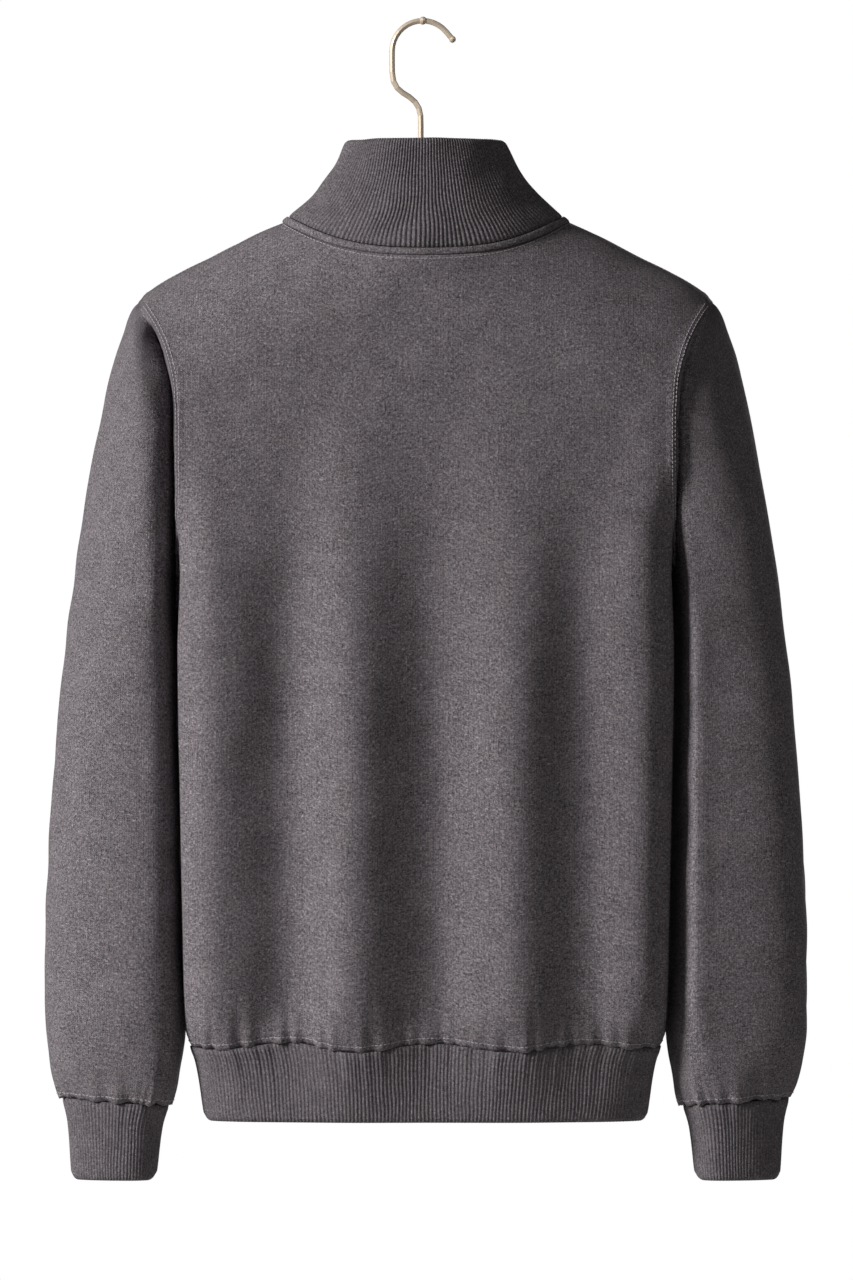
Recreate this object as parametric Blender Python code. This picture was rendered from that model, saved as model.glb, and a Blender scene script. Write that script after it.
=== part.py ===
"""A knit zip jacket on a hanger, seen from its back in the -Y direction.

The jacket is cut from a back, two fronts, two set-in sleeves, a rib stand collar, a neck
welt, a rib hem and two rib cuffs, and it closes at the front with a zip. Each piece of cloth
is a thin wall round an open hollow. The hanger's arms carry it at the shoulders.

Lengths in the tables and formulas are in millimetres. MM turns them into metres where a mesh
is made. +Z is up, the garment's back faces -Y, its front faces +Y, and the origin is the
underside of the hook's crown, where a rail or a peg holds it.
"""
import math

import bmesh
import bpy
import numpy as np
from mathutils import Matrix

MM = 0.001

# ---------------------------------------------------------------- driving dimensions
GARMENT_X = 2.4          # the garment's centre plane: it hangs a little off the hook's middle
GAP = 0.3                # between any two pieces
WALL = 2.0               # milled knit
RIB_WALL = 2.2           # rib knit, at a rib's foot
RIB_HEIGHT = 0.7         # how far a rib stands out

NECK_HALF_WIDTH = 110.6
NECK_BACK = 72.0         # the neck seam's depth behind the shoulder line
NECK_FRONT = 84.0
NECK_SIDE_Z = -152.6
NECK_BACK_Z = -180.3
NECK_FRONT_Z = -206.0
NECK_POWER = 2.3         # 2 is an ellipse, more is squarer
NECK_STEPS = 6           # columns in a quarter of the neck seam

SHOULDER_POINT_Z = -214.0
UNDERARM_Z = -420.0
UPPER_END_Z = -440.0     # below this the body's rows are level
HEM_SEAM_Z = -785.0
HEM_BOTTOM_Z = -842.0
ZIP_EDGE = 5.5           # from the centre front to each cloth edge

COLLAR_TOP_Z = -90.0
COLLAR_TOP_FRONT_Z = -108.0
WELT_HEIGHT = 6.0
WELT_BULGE = 1.3
WELT_GAP = 0.4           # a little more than GAP, because the seam curves

HEM_ROWS = np.array([HEM_SEAM_Z, -797.0, HEM_BOTTOM_Z])

COLLAR_RIBS = 120
HEM_RIBS = 180
CUFF_RIBS = 52

# The shoulder seam, from the neck point to the shoulder point. Columns: x, z.
SHOULDER = np.array([
    (110.6, -152.6), (133.0, -162.8), (169.0, -181.0), (188.0, -190.4),
    (205.0, -199.8), (215.0, -207.2), (220.6, -214.0)])

# The body's rings. "back" and "front" are the depths from the shoulder's plane, "widest" is
# the y of the side seam, and the powers shape the back and the front half.
BODY_COLUMNS = ("z", "half_width", "back", "front", "widest", "back_power", "front_power")
BODY = np.array([
    (-214.0, 220.6, 73.0, 84.0,   0.0, 3.0, 3.0),
    (-300.0, 191.5, 77.0, 90.0,   0.0, 3.0, 3.0),
    (-340.0, 191.0, 78.0, 92.0,   0.0, 3.6, 3.0),
    (-370.0, 190.5, 79.0, 93.0,   0.0, 4.6, 3.0),
    (-396.0, 190.0, 79.5, 94.0,   0.0, 6.0, 2.9),
    (-420.0, 189.3, 80.0, 95.0,   0.0, 7.5, 2.8),
    (-440.0, 190.0, 80.0, 95.5, -11.0, 6.0, 2.6),
    (-460.0, 190.6, 80.0, 95.8, -24.0, 5.0, 2.4),
    (-480.0, 191.0, 80.0, 96.0, -32.0, 4.2, 2.3),
    (-520.0, 190.6, 79.7, 96.0, -37.0, 3.6, 2.3),
    (-600.0, 189.0, 79.0, 95.0, -38.0, 3.4, 2.3),
    (-700.0, 187.0, 78.0, 92.0, -37.0, 3.4, 2.3),
    (-750.0, 185.8, 77.0, 89.0, -33.0, 3.3, 2.3),
    (-773.0, 184.2, 75.0, 86.0, -25.0, 3.1, 2.4),
    (-785.0, 180.5, 72.0, 83.0, -20.0, 3.0, 2.4),
    (-795.0, 176.6, 71.0, 81.0, -16.0, 3.0, 2.4),
    (-842.0, 169.5, 68.0, 77.0, -10.0, 3.0, 2.4)])

# The armhole's edge on the panels, by rows from the shoulder point to the underarm.
# Columns: z, x, how far it lies behind the shoulder's plane, and how far in front.
ARMHOLE = np.array([
    (-214.0, 220.6, 67.0, 68.0), (-223.0, 214.4, 67.0, 68.0), (-236.0, 206.4, 67.0, 68.0),
    (-254.0, 198.6, 67.0, 68.0), (-278.0, 193.0, 67.0, 68.0), (-308.0, 191.2, 67.0, 68.0),
    (-340.0, 190.8, 66.0, 67.0), (-370.0, 190.4, 60.0, 62.0), (-396.0, 190.0, 44.0, 47.0),
    (-413.0, 189.6, 22.0, 24.0), (-420.0, 189.3,  0.0,  0.0)])
ROLL_DROP = 100.0        # so far below its ridge, a shoulder has rolled to its full depth
ROLL_POWER = 1.8
RIDGE_SLOPE = 0.455      # the ridge's rise where it is carried on over the neck
RIDGE_BEND = 0.00113     # and how fast that rise grows inwards
ARMHOLE_COLUMNS = ("z", "x", "back", "front")
ARMHOLE_LOW_Z = -419.0   # just above the underarm, where the edge still has a depth

# The body's rows below the underarm.
LOWER_ROWS = np.array([-440.0, -470.0, -510.0, -555.0, -600.0, -645.0, -690.0, -728.0,
                       -755.0, -770.0, -779.0, -785.0])
SIDE_FRACTIONS = np.array([0.57, 0.64, 0.71, 0.78, 0.845, 0.90, 0.945, 0.98, 1.0])
PLAIN_LOWER_ROWS = (1, 3, 5, 7, 9, 11)      # of the lower rows, those that the plain inside keeps

# The hanging folds of the body: where each lies, how wide it is, how far it stands out
# (or in), and the height at which it begins. Columns: x, width, height, top_z.
BACK_FOLDS = np.array([
    (-178.0, 30.0,  16.0, -225.0), (-103.0, 30.0, -15.0, -225.0), (-56.0, 30.0,  12.5, -240.0),
    (   7.0, 32.0, -11.5, -235.0), (  68.0, 32.0,  11.0, -240.0), (118.0, 28.0,  -9.0, -235.0),
    ( 184.0, 30.0,  16.0, -225.0)])
FRONT_FOLDS = np.array([
    (-150.0, 34.0,  6.0, -330.0), (-98.0, 30.0, -5.5, -320.0), (-50.0, 28.0,  5.0, -340.0),
    (  52.0, 28.0,  5.0, -330.0), ( 101.0, 30.0, -5.5, -310.0), (149.0, 34.0,  6.0, -320.0)])
FOLD_FULL_Z = -560.0
FOLD_FADE_Z = -755.0
FOLD_AT_SEAM = 0.45          # what is left of a fold where the rib takes it up
FOLD_IN_RIB = 0.3            # and of that, how much is left at the hem's edge
SEAM_WAVE = 0.3              # how far the hem seam rises or falls with a fold, by its height
GATHER = 1.1                 # the small puckers that the rib draws up

# The sleeves, from the underarm's level to the cuff seam. x is from the garment's centre.
SLEEVE_COLUMNS = ("z", "outer", "inner", "centre_y", "half_depth")
SLEEVE = np.array([
    (-470.0, 276.5, 189.6,  8.0, 62.0),
    (-520.0, 282.0, 188.9,  6.0, 60.0),
    (-560.0, 285.5, 188.3,  4.0, 58.5),
    (-600.0, 288.0, 187.6,  2.0, 57.0),
    (-650.0, 290.8, 186.8,  0.0, 54.5),
    (-700.0, 293.0, 186.0, -3.0, 51.5),
    (-745.0, 293.0, 185.4, -5.0, 48.5),
    (-772.0, 292.0, 185.2, -6.0, 46.0),
    (-791.0, 290.0, 186.4, -7.0, 43.5),
    (-806.0, 288.2, 188.8, -8.0, 41.0),
    (-817.0, 285.8, 191.6, -8.0, 38.5),
    (-828.0, 281.0, 196.5, -8.0, 35.0)])
TUBE_TOP = dict(zip(SLEEVE_COLUMNS, SLEEVE[0]))
CUFF_SEAM_Z = -828.0
CUFF_SEAM_REACH = 30.0       # over which the cloth above a cuff is drawn in
ARMHOLE_DEPTH = 66.0         # half of the sleeve head's depth at the armhole
# The sleeve head's outer line, from the shoulder point down.
HEAD_COLUMNS = ("z", "x")
HEAD = np.array([
    (-214.0, 220.9), (-218.0, 225.2), (-227.0, 230.0), (-237.0, 233.2), (-255.0, 239.2),
    (-283.0, 246.2), (-320.0, 253.9), (-357.0, 260.0), (-394.0, 266.2), (-431.0, 271.6),
    (-470.0, 276.5)])
HEAD_ROWS = np.array([0.0, 0.035, 0.09, 0.17, 0.27, 0.4, 0.55, 0.7, 0.85, 1.0])
# The sleeve's inner line under the arm, clear of the body.
UNDER_COLUMNS = ("share", "x")
UNDER = np.array([(0.0, 189.6), (0.035, 190.6), (0.1, 191.4), (0.25, 192.0), (0.6, 191.2),
                  (1.0, 189.6)])
INNER_CLEAR = 0.8            # the flat facets need so much more room beside the body
# Beside the armhole the sleeve dives in: how far on the back of the left and the right sleeve
# and on both fronts, over what distance from the seam, and how soon it is at its deepest.
BACK_DIVES = (24.0, 14.0)
DIVE_REACHES = (24.0, 20.0)
FRONT_DIVE = 10.0
DIVE_STEEP = 2.0
DIVE_START = 4.0             # the dive starts so far below the shoulder point,
DIVE_GROWS = 55.0            # grows over so much, and dies away over so much below the underarm
DIVE_FADES = 60.0
DIVE_SIDES = 0.35            # its share of the half turn from the top and bottom of the armhole
LEAN_STARTS = 0.14           # the outer part begins to lean over this share of its width
HEAD_SETTLES = 0.75          # at this share of its length the head has its own section
# The shape of a sleeve's section, for the left and the right one: where its crest lies between
# the inner and the outer edge, how squarely the inner and the outer part turn, how the outer
# part leans to the front, how far to the front the inner edge lies, and how far the sleeve
# as a whole.
CRESTS = (0.30, 0.20)
INNER_POWERS = (3.2, 1.7)
OUTER_POWERS = (1.7, 4.0)
OUTER_LEANS = (0.0, 0.20)
INNER_BACKS = (6.0, 28.0)
BACK_GROWS = 2.5             # in the head the inner edge moves to the front so much sooner
SHIFTS = (-4.0, -11.0)
CUFF_SHAPE = (0.32, 2.4, 2.2, 0.08)
CUFF_BLEND = 90.0            # above a cuff, over so much the section changes to the cuff's
CUFF_SEAM_TILT = 0.07        # the cuff seam climbs a little outwards

# The cuffs, with the sleeves' columns.
CUFF = np.array([
    (-828.0, 279.0, 198.2, -8.0, 34.0),
    (-846.0, 275.0, 203.0, -8.0, 31.5),
    (-888.0, 272.0, 207.6, -8.0, 29.0)])

# The collar's rings, from its top edge (0) to the neck seam (1).
COLLAR_COLUMNS = ("share", "half_width", "back", "front", "power")
COLLAR = np.array([
    (0.00,  60.0, 58.0, 60.0, 2.1),
    (0.02,  60.9, 58.4, 60.4, 2.1),
    (0.20,  66.6, 59.5, 62.5, 2.1),
    (0.43,  74.7, 61.5, 67.0, 2.15),
    (0.65,  85.4, 65.0, 73.0, 2.2),
    (0.84,  98.9, 69.0, 79.0, 2.25),
    (1.00, 110.6, 72.0, 84.0, 2.3)])

# The hanger and its hook.
HOOK_WIRE = 4.3
HOOK_RADIUS = 23.5           # of the hook's arc, at the wire's middle
HOOK_TIP_ANGLE = 50.0        # degrees past the crown where the arc runs out straight
HOOK_TIP_LENGTH = 7.8        # of the straight end
CROWN_MIDDLE_Z = 3.15
STEM_X = -1.4
HANGER_TOP_Z = -116.0
HANGER_REACH = 198.0
HANGER_RADIUS = 7.5
HANGER_DROP = 11.1           # from the shoulder seam down to the middle of the arms
HANGER_END_DROP = 3.0        # more at the tips, where the shoulder rounds down

ZIP_TAPE_EDGE = 3.5
ZIP_TAPE_OUTER = 10.0
ZIP_TAPE_THICKNESS = 0.9
ZIP_TAPE_CLEARANCE = 0.95    # behind the cloth, which curves towards it
CHAIN_HALF_WIDTH = 3.1
CHAIN_THICKNESS = 2.6
SLIDER_Z = -118.0
SLIDER_SPAN = 20.0           # the slider lies along the cloth's slope over this length
# The slider's blocks, in its own frame: x across, y out of the cloth, z up along the zip.
SLIDER_PLATE = ((-4.5, 0.3, -6.0), (4.5, 2.3, 6.0))
SLIDER_POSTS = (((-1.2, 2.1, -5.0), (1.2, 5.0, -3.4)), ((-1.2, 2.1, 3.4), (1.2, 5.0, 5.0)))
SLIDER_BRIDGE = ((-1.2, 4.6, -5.0), (1.2, 5.8, 5.0))
# The pull tab turns on a bar under the bridge. Its blocks are measured from the bar's middle.
PULL_AXIS = (0.0, 3.45, -2.2)
PULL_BAR = ((-3.4, -0.6, -0.6), (3.4, 0.6, 0.6))
PULL_LEGS = (((-3.4, -0.6, -9.0), (-2.2, 0.6, 0.4)), ((2.2, -0.6, -9.0), (3.4, 0.6, 0.4)))
PULL_TAB = ((-3.9, -0.7, -32.0), (3.9, 0.7, -8.0))
BOX_BLOCK = ((-4.3, 0.3, -11.5), (4.3, 1.9, -3.5))
BOX_SPAN = 12.0              # from the hem's edge up to the box's frame

CLOTH_COLOUR = (0.165, 0.148, 0.158, 1.0)
RIB_COLOUR = (0.135, 0.120, 0.128, 1.0)
TAPE_COLOUR = (0.05, 0.045, 0.048, 1.0)
BRASS_COLOUR = (0.66, 0.56, 0.42, 1.0)
WOOD_COLOUR = (0.35, 0.22, 0.12, 1.0)


# ---------------------------------------------------------------- helpers
def clear_scene():
    """Remove what the start file holds."""
    for item in list(bpy.data.objects):
        bpy.data.objects.remove(item, do_unlink=True)


def collection(name):
    """A new collection in the scene."""
    made = bpy.data.collections.new(name)
    bpy.context.scene.collection.children.link(made)
    return made


def material(name, colour, roughness, metallic=0.0):
    """A Principled material."""
    made = bpy.data.materials.new(name)
    made.use_nodes = True
    shader = made.node_tree.nodes["Principled BSDF"]
    shader.inputs["Base Color"].default_value = colour
    shader.inputs["Roughness"].default_value = roughness
    shader.inputs["Metallic"].default_value = metallic
    return made


def read_table(table, columns, at, name):
    """A table's named column, read at the values of its first column, straight between rows."""
    keys = table[:, 0]
    order = np.argsort(keys)
    return np.interp(at, keys[order], table[order, columns.index(name)])


def body_at(z, name):
    """A column of the body's rings at a height."""
    return read_table(BODY, BODY_COLUMNS, z, name)


def smooth_step(value):
    """0 below 0, 1 above 1 and an S between them."""
    held = np.clip(value, 0.0, 1.0)
    return held * held * (3.0 - 2.0 * held)


def arch(share, power):
    """The height of a superellipse's arch over the share of its half width."""
    return (1.0 - np.clip(np.abs(share), 0.0, 1.0) ** power) ** (1.0 / power)


def ring_radius(angle, power):
    """A superellipse's radius at an angle, for half axes of 1."""
    return (np.abs(np.cos(angle)) ** power + np.abs(np.sin(angle)) ** power) ** (-1.0 / power)


def grid_normals(points, closed):
    """The unit normals of a grid of points, which face away from the hollow."""
    along = np.gradient(points, axis=0)
    if closed:
        across = (np.roll(points, -1, axis=1) - np.roll(points, 1, axis=1)) / 2.0
    else:
        across = np.gradient(points, axis=1)
    normals = np.cross(along, across)
    return normals / np.linalg.norm(normals, axis=2, keepdims=True)


def unit(vectors):
    """Vectors at length 1."""
    vectors = np.asarray(vectors, dtype=float)
    return vectors / np.linalg.norm(vectors, axis=-1, keepdims=True)


def grid_faces(rows, columns, start, closed):
    """The quads of a grid of vertices that begins at start."""
    last = columns if closed else columns - 1
    faces = []
    for row in range(rows - 1):
        for column in range(last):
            following = (column + 1) % columns
            faces.append((start + row * columns + column, start + row * columns + following,
                          start + (row + 1) * columns + following,
                          start + (row + 1) * columns + column))
    return faces


def zip_edges(first, second, first_at, second_at, closed):
    """Triangles between two rows of vertices that hold unlike counts.

    The two _at lists say how far along the seam each vertex lies, from 0 to 1.
    """
    if closed:
        first, second = first + first[:1], second + second[:1]
        first_at, second_at = list(first_at) + [1.0], list(second_at) + [1.0]
    faces = []
    left, right = 0, 0
    while left < len(first) - 1 or right < len(second) - 1:
        at_end = right == len(second) - 1
        if at_end or (left < len(first) - 1
                      and first_at[left] + first_at[left + 1]
                      <= second_at[right] + second_at[right + 1]):
            faces.append((first[left], first[left + 1], second[right]))
            left += 1
        else:
            faces.append((first[left], second[right + 1], second[right]))
            right += 1
    return faces


def even(count, closed):
    """Even places along a seam."""
    return np.arange(count) / (count if closed else count - 1)


def add_object(name, mesh, finish, parts):
    """An object for one piece, in the parts' collection."""
    mesh.materials.append(finish)
    made = bpy.data.objects.new(name, mesh)
    parts.objects.link(made)
    return made


def cloth_wall(name, outer, inner, closed, finish, parts, columns=None, rows=None):
    """A wall between an outer and an inner grid of points, with its rims closed.

    The inner grid may be coarser. columns and rows are then each a pair of lists, which say
    how far along the wall the outer and the inner columns or rows lie.
    """
    start = outer.shape[0] * outer.shape[1]
    points = np.concatenate([outer.reshape(-1, 3), inner.reshape(-1, 3)])
    points = (points + (GARMENT_X, 0.0, 0.0)) * MM
    outer_numbers = np.arange(start).reshape(outer.shape[:2])
    inner_numbers = start + np.arange(inner.shape[0] * inner.shape[1]).reshape(inner.shape[:2])
    faces = grid_faces(*outer.shape[:2], 0, closed)
    faces += grid_faces(*inner.shape[:2], start, closed)
    columns = columns or [even(grid.shape[1], closed) for grid in (outer, inner)]
    rows = rows or [even(grid.shape[0], False) for grid in (outer, inner)]
    for border in (0, -1):
        faces += zip_edges(outer_numbers[border].tolist(), inner_numbers[border].tolist(),
                           *columns, closed)
        if not closed:
            faces += zip_edges(outer_numbers[:, border].tolist(),
                               inner_numbers[:, border].tolist(), *rows, False)
    mesh = bpy.data.meshes.new(name)
    mesh.from_pydata([tuple(point) for point in points], [], faces)
    face_outwards(mesh)
    return add_object(name, mesh, finish, parts)


def face_outwards(mesh):
    """Triangulate a closed mesh and turn its faces outwards."""
    work = bmesh.new()
    work.from_mesh(mesh)
    bmesh.ops.triangulate(work, faces=work.faces[:])
    bmesh.ops.recalc_face_normals(work, faces=work.faces[:])
    work.to_mesh(mesh)
    work.free()
    mesh.shade_smooth()
    mesh.set_sharp_from_angle(angle=math.radians(50.0))


def share_of(values):
    """How far each value lies from the first to the last, from 0 to 1."""
    values = np.asarray(values, dtype=float)
    return (values - values[0]) / (values[-1] - values[0])


# ---------------------------------------------------------------- the neck seam
def neck_height(x, is_front):
    """The neck seam's height over x: it dips to the centre back, and more to the centre front."""
    share = np.clip(np.abs(x) / NECK_HALF_WIDTH, 0.0, 1.0)
    lowest, power = (NECK_FRONT_Z, 2.2) if is_front else (NECK_BACK_Z, 2.6)
    return lowest + (NECK_SIDE_Z - lowest) * share ** power


def ridge_height(x):
    """The shoulder seam's height over x, carried on up where the neck's hole is."""
    inside = NECK_HALF_WIDTH - np.abs(x)
    return np.where(inside > 0.0, NECK_SIDE_Z + (RIDGE_SLOPE + RIDGE_BEND * inside) * inside,
                    np.interp(np.abs(x), *SHOULDER.T))


def upper_depth(x, z, is_front):
    """How far a panel lies from the shoulder's plane, at a point beside the armhole.

    The ring at the point's height is a superellipse through the armhole's edge. A roll rounds
    it over the shoulder: a quarter of a superellipse, from the ridge down.
    """
    side = "front" if is_front else "back"
    level = np.clip(z, ARMHOLE_LOW_Z, SHOULDER_POINT_Z)
    edge_x = read_table(ARMHOLE, ARMHOLE_COLUMNS, level, "x")
    edge = read_table(ARMHOLE, ARMHOLE_COLUMNS, level, side)
    depth, power = body_at(level, side), body_at(level, side + "_power")
    half = edge_x / (1.0 - (edge / depth) ** power) ** (1.0 / power)
    left = 1.0 - np.clip((ridge_height(x) - z) / ROLL_DROP, 0.0, 1.0)
    return depth * arch(x / half, power) * arch(left, ROLL_POWER)


def neck_quarter(is_front):
    """Angles and points of the seam from the centre to the neck point at the wearer's right.

    The front's quarter begins at the zip's edge.
    """
    start = ZIP_EDGE / NECK_HALF_WIDTH if is_front else 0.0
    angle = np.linspace(start, math.pi / 2, NECK_STEPS + 1)
    x = NECK_HALF_WIDTH * ring_radius(angle, NECK_POWER) * np.sin(angle)
    if is_front:
        x[0] = ZIP_EDGE
    z = neck_height(x, is_front)
    y = upper_depth(x, z, is_front) * (1.0 if is_front else -1.0)
    return angle, np.stack([x, y, z], axis=1)


def neck_loop():
    """The whole seam, from the front edge at the left, round the back, to the one at the right.

    Returns each point's angle round the neck, 0 at the centre back, and the points.
    """
    back_angle, back = neck_quarter(False)
    front_angle, front = neck_quarter(True)
    right = np.concatenate([back, front[::-1][1:]])
    right_angle = np.concatenate([back_angle, math.pi - front_angle[::-1][1:]])
    left = right[::-1][:-1] * (-1.0, 1.0, 1.0)
    return np.concatenate([-right_angle[::-1][:-1], right_angle]), np.concatenate([left, right])


def on_neck(angle):
    """Points on the neck seam's chords, at any angles."""
    angles, points = neck_loop()
    return np.stack([np.interp(angle, angles, points[:, axis]) for axis in range(3)], axis=-1)


# ---------------------------------------------------------------- the body
def fold_depth(x, z, folds):
    """How far the hanging folds stand out at x and z: soft ridges and troughs, added up."""
    depth = np.zeros(np.broadcast(x, z).shape)
    for centre, width, height, top_z in folds:
        grown = smooth_step((top_z - z) / (top_z - FOLD_FULL_Z))
        depth = depth + height * grown * np.exp(-((x - centre) / width) ** 2)
    drawn_in = smooth_step((FOLD_FADE_Z - z) / (FOLD_FADE_Z - HEM_SEAM_Z))
    return depth * (1.0 - (1.0 - FOLD_AT_SEAM) * drawn_in)


def panel_columns(is_front):
    """The columns of half a panel, as shares of its width, from the centre to the side."""
    width = SHOULDER[-1, 0]
    neck = neck_quarter(is_front)[1][:, 0] / width
    return np.concatenate([neck, SIDE_FRACTIONS])


def panel_x(shares, edge, is_front):
    """The columns' distance from the centre where the side edge lies at edge.

    The front's first column is straight, because the zip is.
    """
    first = shares[0]
    start = ZIP_EDGE if is_front else 0.0
    return start + (edge - start) * (shares - first) / (1.0 - first)


def hem_wave(x, is_front):
    """The hem seam's height: it dips under a ridge and lifts in a trough."""
    folds = FRONT_FOLDS if is_front else BACK_FOLDS
    depth = fold_depth(x, np.full_like(x, FOLD_FULL_Z), folds)
    return HEM_SEAM_Z - SEAM_WAVE * depth * fold_swing(x, HEM_SEAM_Z, is_front)


def fold_swing(x, z, is_front):
    """How freely a fold swings: not at the side seam, nor at the zip."""
    swing = 1.0 - np.clip(np.abs(x) / body_at(z, "half_width"), 0.0, 1.0) ** 8
    if is_front:
        swing = swing * smooth_step((np.abs(x) - ZIP_EDGE) / 30.0)
    return swing


def half_panel(is_front, hand):
    """The outer points of half a panel, rows from the top edge down, columns from the centre.

    hand is 1 for the wearer's right, at +X, and -1 for the left. In the upper rows the side
    edge follows the armhole, and the top row is the neck seam and the shoulder seam. A row
    there is a share of the way from the top edge to the first level row.
    """
    shares = panel_columns(is_front)
    sign = 1.0 if is_front else -1.0
    folds = FRONT_FOLDS if is_front else BACK_FOLDS
    neck = neck_quarter(is_front)[1]
    top_x = panel_x(shares, SHOULDER[-1, 0], is_front)
    top_z = np.concatenate([neck[:, 2], np.interp(top_x[NECK_STEPS + 1:], *SHOULDER.T)])
    rows = []
    for row_z, edge_x in ARMHOLE[:, :2]:
        share = (row_z - SHOULDER_POINT_Z) / (UPPER_END_Z - SHOULDER_POINT_Z)
        x = panel_x(shares, edge_x, is_front)
        z = top_z * (1.0 - share) + UPPER_END_Z * share
        free = 1.0 - (x / edge_x) ** 8
        depth = upper_depth(x, z, is_front) + free * fold_depth(hand * x, z, folds)
        rows.append(np.stack([x, sign * depth, z], axis=1))
    rows += [level_row(row_z, shares, is_front, hand) for row_z in LOWER_ROWS]
    return np.stack(rows) * (hand, 1.0, 1.0)


def level_row(row_z, shares, is_front, hand):
    """One level row of half a panel, with its folds and, near the hem, its gathers."""
    sign = 1.0 if is_front else -1.0
    side = "front" if is_front else "back"
    half = body_at(row_z, "half_width")
    widest = body_at(row_z, "widest")
    depth = body_at(row_z, side) - sign * widest
    x = panel_x(shares, half, is_front)
    swing = fold_swing(x, row_z, is_front)
    folds = fold_depth(hand * x, np.full_like(x, row_z), FRONT_FOLDS if is_front else BACK_FOLDS)
    above_seam = (HEM_SEAM_Z - row_z) / (HEM_SEAM_Z - FOLD_FADE_Z)
    pucker = GATHER * smooth_step(1.0 - above_seam) * (row_z > HEM_SEAM_Z)
    alternate = np.where(np.arange(len(x)) % 2 == 0, -1.0, 1.0)
    y = widest + sign * depth * arch(x / half, body_at(row_z, side + "_power"))
    y = y + sign * swing * (folds + pucker * alternate)
    wave_share = smooth_step(1.0 - above_seam)
    z = row_z + (hem_wave(hand * x, is_front) - HEM_SEAM_Z) * wave_share
    return np.stack([x, y, z], axis=1)


def armhole_directions(is_front, hand):
    """Outward directions along the armhole, from the shoulder point to the underarm.

    They point away from the hole's middle, so that the panel's rim and the sleeve's run alike.
    """
    count = len(ARMHOLE)
    turn = np.linspace(0.0, math.pi, count)
    sign = 1.0 if is_front else -1.0
    lean = np.interp(np.arange(count), (0, 3, count - 3, count - 1), (0.6, 0.35, 0.2, 0.0))
    return unit(np.stack([hand * lean, sign * np.sin(turn), np.cos(turn)], axis=1))


def neck_direction(angle):
    """The outward direction at the neck seam, between the collar's and the shoulder's."""
    return unit(np.stack([0.45 * np.sin(angle), -0.95 * np.cos(angle),
                          0.25 + 0.64 * np.sin(angle) ** 2], axis=-1))


def panel_directions(points, is_front, hand):
    """The outward direction at each of half a panel's points.

    Along a seam it is the one that the neighbour's rim has too.
    """
    sign = 1.0 if is_front else -1.0
    directions = grid_normals(points, False)
    directions = directions * np.sign(directions[:, :1, 1:2]) * sign
    upper = len(ARMHOLE)
    angle = neck_quarter(is_front)[0]
    directions[0, :NECK_STEPS + 1] = neck_direction(hand * (math.pi - angle if is_front
                                                            else angle))
    directions[0, NECK_STEPS:, 1] = 0.0
    directions[:upper, -1] = armhole_directions(is_front, hand)
    directions[upper:, -1] = (hand, 0.0, 0.0)
    directions[-1, :, 2] = 0.0
    directions[:, 0, 0] = 0.0
    return unit(directions)


def inset_border(points, is_front, hand):
    """Pull a half panel's seams back by half the gap."""
    sign = 1.0 if is_front else -1.0
    upper = len(ARMHOLE)
    half = GAP / 2.0
    moved = points.copy()
    moved[0, NECK_STEPS:, 1] += sign * half
    moved[0, :NECK_STEPS + 1, 2] -= half
    moved[:upper, -1, 0] -= hand * half
    moved[upper - 1:, -1, 1] += sign * half
    moved[-1, :, 2] += half
    return moved


def half_panel_wall(is_front, hand):
    """Half a panel's outer and inner points."""
    outer = half_panel(is_front, hand)
    directions = panel_directions(outer, is_front, hand)
    outer = inset_border(outer, is_front, hand)
    return outer, outer - WALL * directions


def build_body(finish, parts):
    """The back, in one piece, and the two fronts, each with a plain inside."""
    upper = len(ARMHOLE)
    kept = list(range(upper)) + [upper + row for row in PLAIN_LOWER_ROWS]
    total = upper + len(LOWER_ROWS) - 1
    rows = (even(total + 1, False), np.array(kept) / total)
    left, right = half_panel_wall(False, -1), half_panel_wall(False, 1)
    outer, inner = (np.concatenate([a[:, ::-1][:, :-1], b], axis=1) for a, b in zip(left, right))
    cloth_wall("back_panel", outer, inner[kept], False, finish, parts, rows=rows)
    for hand, name in ((-1, "front_left"), (1, "front_right")):
        outer, inner = half_panel_wall(True, hand)
        cloth_wall(name, outer, inner[kept], False, finish, parts, rows=rows)


# ---------------------------------------------------------------- the sleeves
def armhole_loop(hand):
    """The armhole's points and outward directions: down its back edge and up its front."""
    count = len(ARMHOLE)
    back = half_panel(False, hand)[:count, -1]
    front = half_panel(True, hand)[:count, -1]
    points = np.concatenate([back, front[::-1][1:-1]])
    directions = np.concatenate([armhole_directions(False, hand),
                                 armhole_directions(True, hand)[::-1][1:-1]])
    return points, directions


def sleeve_turns():
    """Each sleeve column's angle round the tube: 0 on the outer line, half a turn at the inner.

    The columns lie as the armhole's points do, by length.
    """
    edge = half_panel(False, 1)[:len(ARMHOLE), -1]
    length = np.concatenate([[0.0], np.cumsum(np.linalg.norm(np.diff(edge, axis=0), axis=1))])
    back = math.pi * length / length[-1]
    return np.concatenate([back, 2.0 * math.pi - back[::-1][1:-1]])


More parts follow.
